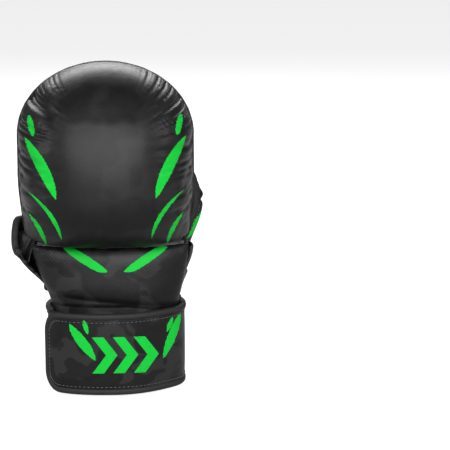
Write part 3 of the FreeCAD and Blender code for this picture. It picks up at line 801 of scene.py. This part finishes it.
def tube_out(angle, z):
    """The direction out of the cuff."""
    step = on_tube(angle, z, 4.0) - on_tube(angle, z, 0.0)
    return step.normalized()


def dress(node, name):
    """A CAD piece keeps its shape and gets this finish."""
    obj = frame["nodes"][node] if isinstance(frame["nodes"], dict) else bpy.data.objects[node]
    for slot in obj.material_slots:
        slot.material = finish(name)


# ---------------------------------------------------------------- the pieces
class GLOVE_OT_cuff(bpy.types.Operator):
    """Build the cuff: its lining, leather shell and rolled edges"""
    bl_idname = "glove.cuff"
    bl_label = "Cuff"

    def execute(self, context):
        ring = (90.2 - 359.6, 90.2)
        lining = grid(120, 22, lambda a, b: on_tube(mix(*ring, a), mix(1.5, cuff_top(mix(*ring, a)), b), 0.2),
                      (260, 76), close="tube")
        obj = add_piece("cuff_lining_cloth", lining, finish("brushed_lining"), "cuff",
                        ("cuff_lining",), wall=1.8, offset=1.0)
        shell = grid(120, 22, lambda a, b: on_tube(mix(*ring, a), mix(1.5, cuff_top(mix(*ring, a)), b),
                                                   5.9 - 0.5 * (1 - dome(2 * b - 1))),
                     (290, 76), close="tube")
        add_piece("cuff_leather", shell, finish("cuff_print"), "cuff",
                  ("cuff_shell", "cuff_padding"), wall=3.4)

        def foot(a):
            angle = 360 * a
            return on_tube(angle, 2.3, 2.9), tube_out(angle, 2.3), UP, 3.2, 2.3
        binding_roll("cuff_foot_binding", foot, finish("binding_tape"), "cuff", steps=120,
                     length=280, closed=True)

        def top(a):
            angle = mix(-15, 195, a)
            return (on_tube(angle, cuff_top(angle) + 2.3, 4.3), tube_out(angle, 76), UP, 3.1, 2.7)
        binding_roll("cuff_edge_binding", top, finish("binding_tape"), "cuff",
                     ("cuff_top_binding",), length=190)

        return {"FINISHED"}


class GLOVE_OT_back_panel(bpy.types.Operator):
    """Build the padded panel on the back of the hand and the crease above it"""
    bl_idname = "glove.back_panel"
    bl_label = "Back panel"

    def execute(self, context):
        def inner(a, b):
            angle = mix(*BACK_ANGLES, a)
            side = dome(2 * a - 1)
            return on_tube(angle, mix(cuff_top(angle) - 3, CREASE_Z + 1, b), 0.4 - 3.6 * dome(2 * b - 1) * side)
        lining = grid(70, 34, inner, (150, 48))
        obj = add_piece("back_panel_cloth", lining, finish("brushed_lining"), "cuff",
                        ("back_panel_lining",), wall=1.6, offset=1.0)

        def cover(a, b):
            angle = mix(*BACK_ANGLES, a)
            low, high = min(cuff_top(angle), STRAP_HIGH + 5) - 2.5, CREASE_Z
            side = min(a, 1 - a) * 150
            if b < 0.9:
                z = mix(low, high, b / 0.9)
                out = max(back_thick(angle, z), 7.4)
                out -= 2.5 * (1 - ease(side / 5)) ** 2 + 1.1 * (1 - ease((z - low) / 4)) ** 2
                out -= 1.2 * (1 - ease((high - z) / 2.5))
                return on_tube(angle, z, out)
            turn = (b - 0.9) / 0.1
            out = mix(back_thick(angle, high) - 1.2 - 4.5 * (1 - ease(side / 5)) ** 2, 1.5, turn)
            return on_tube(angle, high - 2.0 * turn * turn, out)
        bm = grid(110, 56, cover, (150, 52))
        obj = add_piece("back_panel_leather", bm, finish("panel_print"), None,
                        ("back_panel_cover", "back_panel_foam"))

        def hold(p):
            angle = (270 + (p.x / 70) * 69)
            low = cuff_top(angle)
            return (1 - ease((p.z - low - 2) / 4)) + (1 - ease((CREASE_Z - 1 - p.z) / 3)) \
                + (1 - ease((60 - abs(p.x + 4 * (p.x < 0))) / 6)) * 0.6
        swell(obj, hold, 2.4, shrink=0.0)

        def puckers(p):
            side = 66 - abs(p.x + 3)
            near_top = clamp(1 - (CREASE_Z - p.z) / 9)
            near_side = clamp(1 - side / 16)
            return (0.4 * near_top * fold_lines(p.x * 0.13, p.z * 0.03, 3.1)
                    + 0.8 * near_side * fold_lines(p.z * 0.12, p.x * 0.02, 7.7))
        crease(obj, puckers)
        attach(obj, "cuff")
        obj.modifiers.new("rounding", "SUBSURF").levels = 1
        obj.modifiers["rounding"].render_levels = 1

        def seam(angle_from, z_from, z_to):
            def path(a):
                z = mix(z_from, z_to, a)
                return on_tube(angle_from, z, back_thick(angle_from, z) - 2.2), tube_out(angle_from, z)
            return path
        for number, angle in enumerate((204.5, 335.5)):
            stitches(f"back_panel_stitches_{number + 1}", seam(angle, 84, CREASE_Z - 5), 11,
                     finish("thread"), "cuff")

        def web(a, b):
            angle = mix(207, 333, a)
            full = dome(2 * a - 1)
            z = mix(CREASE_Z - 8, HOOD_BOTTOM + 2 + 8 * full, b)
            out = 3.5 + 5.0 * full - 2.6 * sin(pi * clamp((z - CREASE_Z + 3) / 8))
            return on_tube(angle, z, out)
        bm = grid(90, 22, web, (150, 20))
        obj = add_piece("knuckle_crease_web", bm, finish("plain_leather"), None, (),
                        wall=1.2)
        apply_modifiers(obj)
        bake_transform(obj)
        return {"FINISHED"}


class GLOVE_OT_heel_wrap(bpy.types.Operator):
    """Build the wrap round the heel of the hand, its binding and the panels towards the thumb"""
    bl_idname = "glove.heel_wrap"
    bl_label = "Heel wrap"

    def execute(self, context):
        angles = (73.0, 200.5)

        def wrap(a, b):
            angle = mix(*angles, a)
            z = mix(cuff_top(angle) + 5.0, wrap_top(angle), b)
            fold = fold_lines(angle * 0.07 + z * 0.05, z * 0.09, 11.3, 0.2)
            near = ease((angle - 95) / 30) * (1 - ease((z - 108) / 14))
            return on_tube(angle, z, wrap_in(angle, z) + 2.4 - 1.5 * fold * near
                           + 0.8 * sin(pi * b) + 1.0 * near * noise.noise(Vector((angle * 0.05, z * 0.06, 2))))
        bm = grid(110, 40, wrap, (170, 50))
        add_piece("heel_wrap_leather", bm, finish("thenar_print"), "cuff",
                  ("heel_wrap",), wall=2.2, levels=1)

        def edge(a):
            angle = mix(*angles, a)
            z = wrap_top(angle) + 2.3
            return on_tube(angle, z, wrap_in(angle, z) + 1.2), tube_out(angle, z), UP, 2.9, 2.8

        def gathers(a, b):
            near = bell((a - 0.10) / 0.10)
            return 0.14 * near * sin(a * 300) + 0.05 * noise.noise(Vector((a * 40, b * 3, 0)))
        binding_roll("heel_wrap_edge", edge, finish("binding_tape"), "cuff",
                     ("heel_wrap_binding",), steps=240, length=185, pucker=gathers)

        def little_side(a, b):
            angle = mix(150, 204, a)
            z = min(wrap_top(angle), CREASE_Z + 12) - 5
            low = on_tube(angle, z, wrap_in(angle, z) - 0.2)
            high = hood_skin(0.005 + 0.13 * a, 0.0, False)
            return low.lerp(high, b) + Vector((-2.2, 1.0, 0)) * sin(pi * b) * (1 - 0.5 * a)

        def thumb_side(a, b):
            angle = mix(18, -24, a)
            low = on_tube(angle, CREASE_Z - 9, 6.0)
            high = hood_skin(0.995 - 0.13 * a, 0.0, False)
            return low.lerp(high, b) + Vector((1.6, 0.5, 0)) * sin(pi * b)
        for name, place in (("little_side_gusset", little_side), ("thumb_side_gusset", thumb_side)):
            bm = grid(36, 18, place, (50, 20), inside=(HOOD_X, -10, 128))
            obj = add_piece(name, bm, finish("cuff_print"), None, (), wall=1.0)
            apply_modifiers(obj)
            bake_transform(obj)

        def line(a):
            angle = mix(75, 198, a)
            z = wrap_top(angle) - 1.8
            return on_tube(angle, z, wrap_in(angle, z) + 3.1), tube_out(angle, z)
        stitches("heel_wrap_stitches", line, 46, finish("thread"), "cuff")

        side = (BACK_ANGLES[1] - 359.5, 72.6)

        def thenar(a, b):
            angle = mix(*side, a)
            z = mix(cuff_top(angle) + 5.0, WRAP_LOW, b)
            return on_tube(angle, z, thenar_in(angle, z) + 2.4 + 1.0 * sin(pi * b) * sin(pi * a)
                           + 0.5 * noise.noise(Vector((angle * 0.06, z * 0.08, 5))))
        bm = grid(70, 18, thenar, (90, 18))
        add_piece("thenar_leather", bm, finish("thenar_print"), "cuff",
                  ("thenar_panel",), wall=2.2, levels=1)

        def flank(a, b):
            angle = mix(side[0], 24.0, a)
            z = mix(WRAP_LOW - 1, CREASE_Z - 4, b)
            return on_tube(angle, z, 5.4 + 3 * ease((z - WRAP_LOW) / 25) + 0.8 * sin(pi * a) * sin(pi * b))
        bm = grid(40, 26, flank, (45, 26))
        add_piece("thumb_side_leather", bm, finish("cuff_print"), "cuff",
                  ("thumb_side_panel",), wall=2.2, levels=1)
        return {"FINISHED"}


def bell(share):
    """1 at 0, falling smoothly to 0 at -1 and 1."""
    return max(0.0, 1 - share * share) ** 2


class GLOVE_OT_strap(bpy.types.Operator):
    """Build the wrist strap, its hook flap, bindings, stitching, patches and label"""
    bl_idname = "glove.strap"
    bl_label = "Wrist strap"

    def execute(self, context):
        low, high = STRAP_LOW + BINDING, STRAP_HIGH - BINDING

        def wrap(a, b):
            angle = mix(HINGE + 1.2, 262, a)
            z = mix(low - 1.5, high + 1.5, b)
            return on_tube(angle, z, strap_in(angle) + 4.6 + 0.5 * dome(2 * b - 1))
        bm = grid(150, 30, wrap, (290, 61))
        obj = add_piece("strap_leather", bm, finish("strap_print"), "cuff",
                        ("strap_wrap_cover", "strap_wrap_core"), wall=4.2)
        for name, middle, node in (("lower", STRAP_LOW + 2.5, "strap_bottom_binding"),
                                   ("upper", STRAP_HIGH - 2.5, "strap_top_binding")):
            def edge(a, middle=middle):
                angle = mix(HINGE + 1.2, 204, a)
                return (on_tube(angle, middle, strap_in(angle) + 2.8), tube_out(angle, middle), UP,
                        2.85, 2.5)
            binding_roll(f"strap_{name}_edge", edge, finish("binding_tape"), "cuff",
                         (node,), steps=130, length=250)
        for name, height in (("lower", low + 1.3), ("upper", high - 1.3)):
            def line(a, height=height):
                angle = mix(HINGE + 3, 200, a)
                return on_tube(angle, height, strap_in(angle) + 5.1), tube_out(angle, height)
            stitches(f"strap_{name}_stitches", line, 62, finish("thread"), "cuff")

        def rise(a, b):
            angle = mix(262.6, 320, a)
            turn = 2 * b - 1
            full = half_round(clamp(abs(turn)) * 0.999, 6.0) * half_round(max(0.0, 1 - a / 0.04), 2.0)
            out = mix(6.0, strap_in(angle - 360) - 0.4, full)
            return on_tube(angle, STRAP_MIDDLE + 30 * turn, out)
        bm = grid(50, 40, rise, (60, 60))
        obj = add_piece("flap_bed_leather", bm, finish("cuff_print"), "cuff")

        half = (STRAP_HIGH - STRAP_LOW) / 2

        def drop(angle):
            return 17 * (1 - half_round(clamp((FLAP_END + 16 - angle) / 16) * 0.985))

        def flap(a, b):
            angle = mix(HINGE + 0.7, FLAP_END + 3.0, a)
            reach = half - 3.4 - drop(angle - 3.0)
            height = 2 * b - 1
            crown = 0.6 * dome(height) * dome(max(0.0, (a - 0.9) * 10))
            return on_tube(angle, STRAP_MIDDLE + reach * height, strap_in(angle) + 4.6 + crown)
        bm = grid(170, 34, flap, (150, 62))
        obj = add_piece("flap_leather", bm, finish("flap_print"), None,
                        ("strap_flap_cover", "strap_flap_core"), wall=4.0)
        apply_modifiers(obj)
        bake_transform(obj)

        radius = 15.0
        top_run = abs(FLAP_END - HINGE) - radius - 1
        corner = radius * pi / 2
        side_run = 2 * (half - 2.5 - radius)
        total = 2 * top_run + 2 * corner + side_run

        def border(distance, inset=0.0):
            """Angle and height along the flap's edge, from its lower hinge corner to the upper one."""
            r, reach, end = radius - inset, half - 2.5 - inset, FLAP_END + 2.6 + inset
            if distance < top_run:
                return HINGE + 0.7 - distance * (abs(end - HINGE) + 0.7 - r) / top_run, -reach
            distance -= top_run
            if distance < corner:
                turn = distance / corner * pi / 2
                return end + r - r * sin(turn), -reach + r - r * cos(turn)
            distance -= corner
            if distance < side_run:
                return end, mix(-reach + r, reach - r, distance / side_run)
            distance -= side_run
            if distance < corner:
                turn = distance / corner * pi / 2
                return end + r - r * cos(turn), reach - r + r * sin(turn)
            distance -= corner
            return end + r + distance * (abs(end - HINGE) + 0.7 - r) / top_run, reach

        def centre_at(a, inset, out):
            angle, height = border(clamp(a) * total, inset)
            return on_tube(angle, STRAP_MIDDLE + height, strap_in(angle) + out)

        def flap_edge(a):
            angle, height = border(clamp(a) * total)
            centre = centre_at(a, 0.0, 2.9)
            ahead = (centre_at(a + 0.002, 0, 2.9) - centre_at(a - 0.002, 0, 2.9)).normalized()
            out = tube_out(angle, STRAP_MIDDLE + height)
            out = (out - ahead * out.dot(ahead)).normalized()
            return centre, out, out.cross(ahead).normalized(), 2.9, 2.7
        obj = binding_roll("flap_edge", flap_edge, finish("binding_tape"), None,
                           ("strap_flap_binding",), steps=260, length=total)
        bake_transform(obj)

        def flap_line(a):
            angle, height = border(clamp(0.02 + 0.96 * a) * total, 4.3)
            return centre_at(0.02 + 0.96 * a, 4.3, 5.2), tube_out(angle, STRAP_MIDDLE + height)
        obj = stitches("flap_stitches", flap_line, 100, finish("thread"), None)
        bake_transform(obj)

        dress("loop_patch", "loop_pile")
        dress("hook_patch", "hook_tape")
        dress("size_label", "woven_label")
        return {"FINISHED"}


class GLOVE_OT_hood(bpy.types.Operator):
    """Build the padded knuckle hood, its lining and its bound rim"""
    bl_idname = "glove.hood"
    bl_label = "Knuckle hood"

    def execute(self, context):
        sizes = context.scene.glove_sizes
        tuck = 0.08

        def cover(a, b):
            if b < tuck:
                share = 1 - b / tuck
                edge, low = hood_skin(a, 0.0, True), hood_skin(a, 0.0, False)
                point = edge + (low - edge) * (share * 0.92)
                point.z += 0.6 * share
                return point
            point = hood_skin(a, (b - tuck) / (1 - tuck), True)
            return point
        bm = grid(112, 104, cover, (250, 240), inside=(HOOD_X, 10, 190))
        obj = add_piece("hood_leather", bm, finish("hood_print"), None,
                        ("knuckle_cover", "knuckle_foam_soft", "knuckle_foam_dense"))

        def hold(p):
            rim = rim_y(p.z) - p.y
            under = 1 - ease((p.z - HOOD_BOTTOM - 3) / 5)
            return (1 - ease((rim - 3) / 8)) + under + ease((p.z - HOOD_TOP + 45) / 35)
        swell(obj, hold, 3.0, shrink=-0.01)
        depth = sizes.rim_crease / MM

        def gathers(p):
            rim = rim_y(p.z) - p.y                       # how far round from the rim
            side = 1 if p.x > HOOD_X else -1
            if p.z < ARCH_Z:
                along = p.z - ARCH_Z
                in_from_rim = hood_half(p.z) - abs(p.x - HOOD_X)
            else:
                along = 72 * atan2(p.z - ARCH_Z, abs(p.x - HOOD_X))
                in_from_rim = HOOD_HALF - sqrt((p.x - HOOD_X) ** 2 + (p.z - ARCH_Z) ** 2 * 1.5)
            fade = ease((rim - 1) / 7) * (1 - ease((in_from_rim - 2) / 42))
            strong = ease((along + 80) / 30) * (1 - 0.9 * ease((along - 30) / 60))
            warp = 0.5 * noise.noise(Vector((along * 0.03, in_from_rim * 0.03, 9.0 * side)))
            fine = (fold_lines(along * 0.115 + warp, in_from_rim * 0.012, 4.0 * side + 0.5, 0.2)
                    + 0.6 * fold_lines(along * 0.21 + warp, in_from_rim * 0.02, 6.0 * side + 0.5, 0.2))
            broad = 0.5 + 0.5 * noise.noise(Vector((along * 0.07, in_from_rim * 0.01, 2.0 * side)))
            return depth * fade * strong * (0.62 * fine + 0.55 * broad - 0.2)
        crease(obj, gathers)

        def ripple(p):
            low = clamp(1 - (p.z - HOOD_BOTTOM) / 14)
            return 0.7 * low * fold_lines(p.x * 0.10, p.z * 0.02, 13.0)
        crease(obj, ripple)
        rounding = obj.modifiers.new("rounding", "SUBSURF")
        rounding.levels = rounding.render_levels = 1
        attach(obj, "knuckle_pad")

        def cloth(a, b):
            point = hood_skin(a, b, False)
            rise = (point.z - HOOD_BOTTOM - 4) / (STRIP_TOP - 14 - HOOD_BOTTOM)
            if 0 < rise < 1:
                point.y += 4.0 * dome(2 * rise - 1) * dome(2 * a - 1)
            return point
        bm = grid(70, 80, cloth, (200, 190), inside=(HOOD_X, 10, 190))
        obj = add_piece("hood_lining_cloth", bm, finish("brushed_lining"), "knuckle_pad",
                        ("knuckle_lining",), wall=1.8, offset=1.0)

        def rim(a):
            centre, out = rim_path(a)
            return centre + Vector((0, 1.0, 0)), out, Vector((0, 1, 0)), 4.1, 4.2

        def soft(a, b):
            return 0.05 * noise.noise(Vector((a * 50, b * 2, 1)))
        binding_roll("rim_edge", rim, finish("binding_tape"), "knuckle_pad",
                     ("rim_binding",), steps=220, length=400, pucker=soft)

        def inner_line(a):
            centre, out = rim_path(0.02 + 0.96 * a, 64.2)
            return centre + Vector((0, 1.2, 0)), Vector((0, 1, 0))
        stitches("rim_stitches", inner_line, 96, finish("thread"), "knuckle_pad")
        return {"FINISHED"}


class GLOVE_OT_palm(bpy.types.Operator):
    """Build the palm strip, its binding, the grip roll and the tab beside the thumb"""
    bl_idname = "glove.palm"
    bl_label = "Palm strip"

    def execute(self, context):
        low_half = hand_half(HOOD_BOTTOM + 33) - 0.5

        def x_at(a):
            return HOOD_X - low_half * cos(mix(radians(6), pi - radians(6), a))

        def strip(a, b):
            x = x_at(a)
            z = mix(strip_low(x) + 3.5, STRIP_TOP + 2, b)
            gather = fold_lines(x * 0.11, z * 0.05, 31.0, 0.2)
            return Vector((x, palm_y(x) + 2.4 + 1.0 * sin(pi * b) - 1.3 * gather * (0.3 + 0.7 * b), z))
        bm = grid(130, 14, strip, (150, 14), inside=(HOOD_X, -60, 175))
        add_piece("palm_strip_leather", bm, finish("sleeve_leather"), "knuckle_pad",
                  ("palm_strip",), wall=2.0, levels=1)

        def edge(a):
            x = x_at(a)
            step = Vector((x_at(a + 0.01) - x_at(a - 0.01), 0, 0))
            step.y = palm_y(x_at(min(1, a + 0.01))) - palm_y(x_at(max(0, a - 0.01)))
            out = Vector((-step.y, step.x, 0)).normalized()
            return Vector((x, palm_y(x) + 1.2, strip_low(x) + 2.5)), out, UP, 3.0, 3.1
        binding_roll("palm_strip_edge", edge, finish("binding_tape"), "knuckle_pad",
                     ("palm_strip_binding",), steps=120, length=150)

        def line(a):
            x = x_at(0.03 + 0.94 * a)
            return Vector((x, palm_y(x) + 3.4, strip_low(x) + 6.6)), Vector((0, 1, 0))
        stitches("palm_strip_stitches", line, 44, finish("thread"), "knuckle_pad")

        middle = (ROLL_LOW + ROLL_HIGH) / 2
        length = ROLL_HIGH.x - ROLL_LOW.x

        def roll(a, b):
            near = min(a, 1 - a) * length
            radius = 5.9 * half_round(clamp(1 - near / 4.5), 2.4)
            turn = 2 * pi * b
            wrinkle = 0.45 * fold_lines(a * 7, b * 1.2, 5.0, 0.25) * ease(near / 6)
            radius *= 1 + 0.04 * noise.noise(Vector((a * 12, b, 3)))
            radius -= wrinkle
            bow = -1.2 * sin(pi * a)
            return Vector((mix(ROLL_LOW.x, ROLL_HIGH.x, a), middle.y + radius * cos(turn),
                           middle.z + bow * 0.4 + radius * sin(turn)))
        bm = grid(110, 26, roll, (length, 38), close="shell")
        obj = add_piece("grip_roll_leather", bm, finish("sleeve_leather"),
                        "knuckle_pad", ("grip_roll_cover", "grip_roll_core"))

        def roll_line(a):
            x = mix(ROLL_LOW.x + 3, ROLL_HIGH.x - 3, a)
            return Vector((x, middle.y + 5.4, middle.z - 3.0)), Vector((0, 0.8, -0.6))
        stitches("grip_roll_stitches", roll_line, 20, finish("thread"), "knuckle_pad")

        def tab(a, b):
            x = mix(-1, 9, a)
            z = mix(HOOD_BOTTOM + 4, strip_low(4) + 3, b)
            return Vector((x, lining_y(x, z) + 6.0 + 0.6 * sin(pi * a), z))
        bm = grid(8, 24, tab, (10, 34), inside=(HOOD_X, -200, 150))
        add_piece("palm_tab", bm, finish("plain_leather"), "knuckle_pad", (), wall=1.2,
                  levels=1)
        return {"FINISHED"}


class GLOVE_OT_sleeves(bpy.types.Operator):
    """Build the four finger sleeves with their hems and creases"""
    bl_idname = "glove.sleeves"
    bl_label = "Finger sleeves"

    def execute(self, context):
        depth = context.scene.glove_sizes.sleeve_crease / MM
        for number, name in enumerate(("little", "ring", "middle", "index")):
            outer = name in ("little", "index")
            low = STRIP_TOP - (1.0 if outer else -10.5)

            def shape(a, b, inset=0.0, number=number, low=low, outer=outer):
                z = mix(low, SLEEVE_TOP - 0.5, b)
                across, deep = around(mix(radians(-90), radians(270), a), 4)
                reach = hand_half(z) - 3
                edges = (HOOD_X - reach, *FOLDS, HOOD_X + reach)
                left, right = edges[number] + 0.6, edges[number + 1] - 0.6
                x = mix(left, right, (1 + across) / 2)
                back, front = lining_y(x, z) + 1.4, palm_y(x) + 2.3
                y = mix(back, front, (1 + deep) / 2)
                centre = Vector(((left + right) / 2, (back + front) / 2, z))
                point = Vector((x, y, z))
                out = (point - centre)
                out.z = 0
                size = out.length
                out.normalize()
                seed = 17.0 * number
                run = a * 6.0
                folds = (fold_lines(z * 0.085 + 0.5 * sin(run), run * 0.45, seed, 0.22)
                         + 0.7 * fold_lines(z * 0.13 + run * 0.5, run * 0.9 - z * 0.03, seed + 5, 0.16))
                shape_noise = noise.noise(Vector((run * 0.6, z * 0.035, seed + 3)))
                fade = ease(b / 0.1) * (1 - ease((b - 0.80) / 0.1))
                inward = depth * (0.85 * folds * fade) + 1.2 * max(0.0, shape_noise) + inset
                return point - out * min(inward, size * 0.4)
            bm = grid(96, 44, shape, (150, 48), close="tube",
                      inside=(HOOD_X + (-45, -10, 20, 48)[number], 4, 205))
            stands = (name + "_finger_sleeve",)
            obj = add_piece(name + "_sleeve_leather", bm, finish("sleeve_leather"), None,
                            stands, wall=1.4)
            apply_modifiers(obj)
            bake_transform(obj)
            for line, share in enumerate((0.86, 0.92)):
                def path(a, share=share, shape=shape):
                    point = shape(a, share, -0.1)
                    middle = shape(0.25, share) * 0.5 + shape(0.75, share) * 0.5
                    out = point - middle
                    out.z = 0
                    return point, out.normalized()
                stitches(f"{name}_hem_stitches_{line + 1}", path, 46, finish("thread"),
                         name + "_finger", thick=0.35)

            def lip(a, shape=shape):
                point = shape(a % 1.0, 1.0, 0.6)
                middle = shape(0.25, 1.0) * 0.5 + shape(0.75, 1.0) * 0.5
                out = point - middle
                out.z = 0
                return point, out.normalized(), UP, 0.95, 0.55
            binding_roll(name + "_sleeve_lip", lip, finish("cut_edge"),
                         name + "_finger", steps=96, length=150, closed=True, sides=8)
        return {"FINISHED"}


class GLOVE_OT_thumb_guard(bpy.types.Operator):
    """Build the padded thumb guard, its lining, binding, ridge and thumb loop"""
    bl_idname = "glove.thumb_guard"
    bl_label = "Thumb guard"

    def execute(self, context):
        turns = (radians(14), radians(168))

        def surface(a, b, out):
            angle, top = guard_edge(mix(*turns, a))
            z = mix(THUMB_BOTTOM, top - 3.0, b)
            return on_guard(angle, z, out)

        bm = grid(60, 30, lambda a, b: surface(a, b, 0.2), (90, 78), inside=(41, 30, 140))
        obj = add_piece("thumb_lining_cloth", bm, finish("brushed_lining"), None,
                        ("thumb_lining",), wall=1.4, offset=1.0)
        apply_modifiers(obj)
        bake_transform(obj)

        def ridge(p):
            """How near a point is to the sewn ridge that runs up across the guard."""
            line = mix(124, 148, (p.x - 16) / 46)
            return p.z - line

        def cover(a, b):
            skirt = 0.14
            up = max(0.0, (b - skirt) / (1 - skirt))
            full = dome(2 * a - 1) * dome(max(0.0, 2 * up - 1))
            out = 1.8 + mix(1.5, 8.0, full) + 1.6
            if b < skirt:
                # the cover runs down onto the panel below
                angle = guard_edge(mix(*turns, a))[0]
                share = b / skirt
                return on_guard(angle, THUMB_BOTTOM - 8 * (1 - share), mix(-4.5, out, ease(share)))
            b = up
            p = surface(a, b, out)
            if p.y > 30:
                gap = ridge(p)
                out += 1.3 * bell(gap / 5.0) - 1.8 * bell((gap + 5.5) / 3.0)
                p = surface(a, b, out)
            return p
        bm = grid(90, 80, cover, (110, 82), inside=(41, 30, 140))
        obj = add_piece("thumb_leather", bm, finish("guard_print"), None,
                        ("thumb_cover", "thumb_foam"))

        def hold(p):
            low = 1 - ease((p.z - THUMB_BOTTOM - 1) / 8)
            near_ridge = bell((ridge(p) + 5.0) / 6.0) if p.y > 30 else 0.0
            return low + near_ridge + 0.25
        swell(obj, hold, 1.6, frames=12)
        rounding = obj.modifiers.new("rounding", "SUBSURF")
        rounding.levels = rounding.render_levels = 1
        apply_modifiers(obj)
        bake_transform(obj)

        def edge(a):
            angle, top = guard_edge(mix(*turns, a))
            centre = on_guard(angle, top - 2.4, 2.3)
            before = guard_edge(mix(*turns, clamp(a - 0.01)))
            after = guard_edge(mix(*turns, clamp(a + 0.01)))
            ahead = (on_guard(after[0], after[1] - 2.4, 2.3) - on_guard(before[0], before[1] - 2.4, 2.3))
            ahead.normalize()
            out = (on_guard(angle, top, 4) - on_guard(angle, top, 0)).normalized()
            out = (out - ahead * out.dot(ahead)).normalized()
            return centre, out, out.cross(ahead).normalized(), 3.5, 3.0
        obj = binding_roll("thumb_edge", edge, finish("binding_tape"), None,
                           ("thumb_binding",), steps=170, length=230)
        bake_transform(obj)

        def inner_line(a):
            share = 0.03 + 0.94 * a
            angle, top = guard_edge(mix(*turns, share))
            z = mix(THUMB_BOTTOM, top - 3.0, 0.93)
            full = dome(2 * share - 1) * dome(0.86)
            out = 3.5 + mix(1.5, 8.0, full)
            return on_guard(angle, z, out), (on_guard(angle, z, 4) - on_guard(angle, z, 0)).normalized()
        obj = stitches("thumb_stitches", inner_line, 56, finish("thread"), None)
        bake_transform(obj)

        def web(a, b):
            low = on_tube(17, mix(WRAP_LOW - 2, CREASE_Z - 6, a), 6.5)
            high = on_guard(-17, mix(THUMB_BOTTOM - 3, THUMB_BOTTOM + 22, a), 1.6)
            return low.lerp(high, b) + Vector((3.0, -1.0, 0)) * sin(pi * b)
        bm = grid(24, 14, web, (26, 18), inside=(20, 10, 105))
        obj = add_piece("thumb_web", bm, finish("plain_leather"), None, (), wall=1.0)
        apply_modifiers(obj)
        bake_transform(obj)

        def loop(a, b):
            across, deep = around(mix(radians(-90), radians(270), a), 3)
            z = THUMB_BOTTOM + mix(7, 37, b) + 1.0 * sin(a * 12)
            return Vector((34 + 14.8 * across, 31 + 11.3 * deep, z))
        bm = grid(56, 14, loop, (90, 30), close="tube", inside=(34, 31, 120))
        add_piece("thumb_loop_leather", bm, finish("plain_leather"), "thumb_guard",
                  ("thumb_loop",), wall=1.2, levels=1)
        return {"FINISHED"}


class GLOVE_OT_stage(bpy.types.Operator):
    """Build the floor, the soft lights and the camera"""
    bl_idname = "glove.stage"
    bl_label = "Stage"

    def execute(self, context):
        bm = bmesh.new()
        bmesh.ops.create_grid(bm, x_segments=2, y_segments=2, size=6.0)
        mesh = bpy.data.meshes.new("floor")
        bm.to_mesh(mesh)
        bm.free()
        floor = bpy.data.objects.new("floor", mesh)
        context.scene.collection.objects.link(floor)
        r = Recipe("pale_floor")
        speck = r.mottle(3.0, 2.0)
        mesh.materials.append(r.finish(Base_Color=r.blend(speck, tone(0.15), tone(0.165)), Roughness=0.9,
                                       Emission_Color=tone(1.0), Emission_Strength=0.84,
                                       Specular_IOR_Level=0.1))

        world = bpy.data.worlds.new("studio")
        world.use_nodes = True
        world.node_tree.nodes["Background"].inputs["Color"].default_value = (1, 1, 1, 1)
        world.node_tree.nodes["Background"].inputs["Strength"].default_value = 0.16
        context.scene.world = world
        context.scene.view_settings.view_transform = "Standard"
        context.scene.view_settings.gamma = 0.84

        target = Vector((0.0, -0.02, 0.14))
        for name, place, size, power in (
                ("key", (0.0, -1.45, 0.95), (3.0, 1.3), 125.0),
                ("fill", (1.5, -0.4, 0.7), (0.4, 0.9), 13.0),
                ("edge", (-1.5, -0.2, 0.7), (0.4, 0.9), 15.0),
                ("palm", (0.0, 1.5, 1.3), (2.0, 0.9), 50.0)):
            light = bpy.data.lights.new(name, "AREA")
            light.shape, light.size, light.size_y, light.energy = "ELLIPSE", *size, power
            lamp = bpy.data.objects.new(name, light)
            lamp.location = place
            lamp.rotation_euler = (target - Vector(place)).to_track_quat("-Z", "Y").to_euler()
            context.scene.collection.objects.link(lamp)

        camera = bpy.data.cameras.new("camera")
        distance, wide = 1.45, 0.369
        camera.sensor_width = 36
        camera.lens = 36 * distance / wide
        eye = bpy.data.objects.new("camera", camera)
        look_at = Vector((0.090, -0.02, 0.1385))
        eye.location = Vector((0.0, -0.02, 0.1385)) + distance * Vector((0, -SEEN[0], SEEN[1]))
        eye.rotation_euler = (look_at - eye.location).to_track_quat("-Z", "Y").to_euler()
        context.scene.collection.objects.link(eye)
        context.scene.camera = eye
        return {"FINISHED"}


STEPS = (GLOVE_OT_cuff, GLOVE_OT_back_panel, GLOVE_OT_heel_wrap, GLOVE_OT_strap, GLOVE_OT_hood,
         GLOVE_OT_palm, GLOVE_OT_sleeves, GLOVE_OT_thumb_guard, GLOVE_OT_stage)


class GLOVE_PT_panel(bpy.types.Panel):
    """The glove's steps, sizes and colours"""
    bl_idname = "GLOVE_PT_panel"
    bl_label = "Sparring glove"
    bl_space_type = "VIEW_3D"
    bl_region_type = "UI"
    bl_category = "Glove"

    def draw(self, context):
        for group in (context.scene.glove_sizes, context.scene.glove_look):
            for name in group.__annotations__:
                self.layout.prop(group, name)
        for step in STEPS:
            self.layout.operator(step.bl_idname)


CLASSES = (GloveSizes, GloveLook, *STEPS, GLOVE_PT_panel)


def register():
    for kind in CLASSES:
        bpy.utils.register_class(kind)
    bpy.types.Scene.glove_sizes = PointerProperty(type=GloveSizes)
    bpy.types.Scene.glove_look = PointerProperty(type=GloveLook)


def unregister():
    del bpy.types.Scene.glove_sizes
    del bpy.types.Scene.glove_look
    for kind in reversed(CLASSES):
        bpy.utils.unregister_class(kind)


def main():
    register()
    for step in STEPS:
        group, name = step.bl_idname.split(".")
        getattr(getattr(bpy.ops, group), name)()


if __name__ == "__main__":
    main()
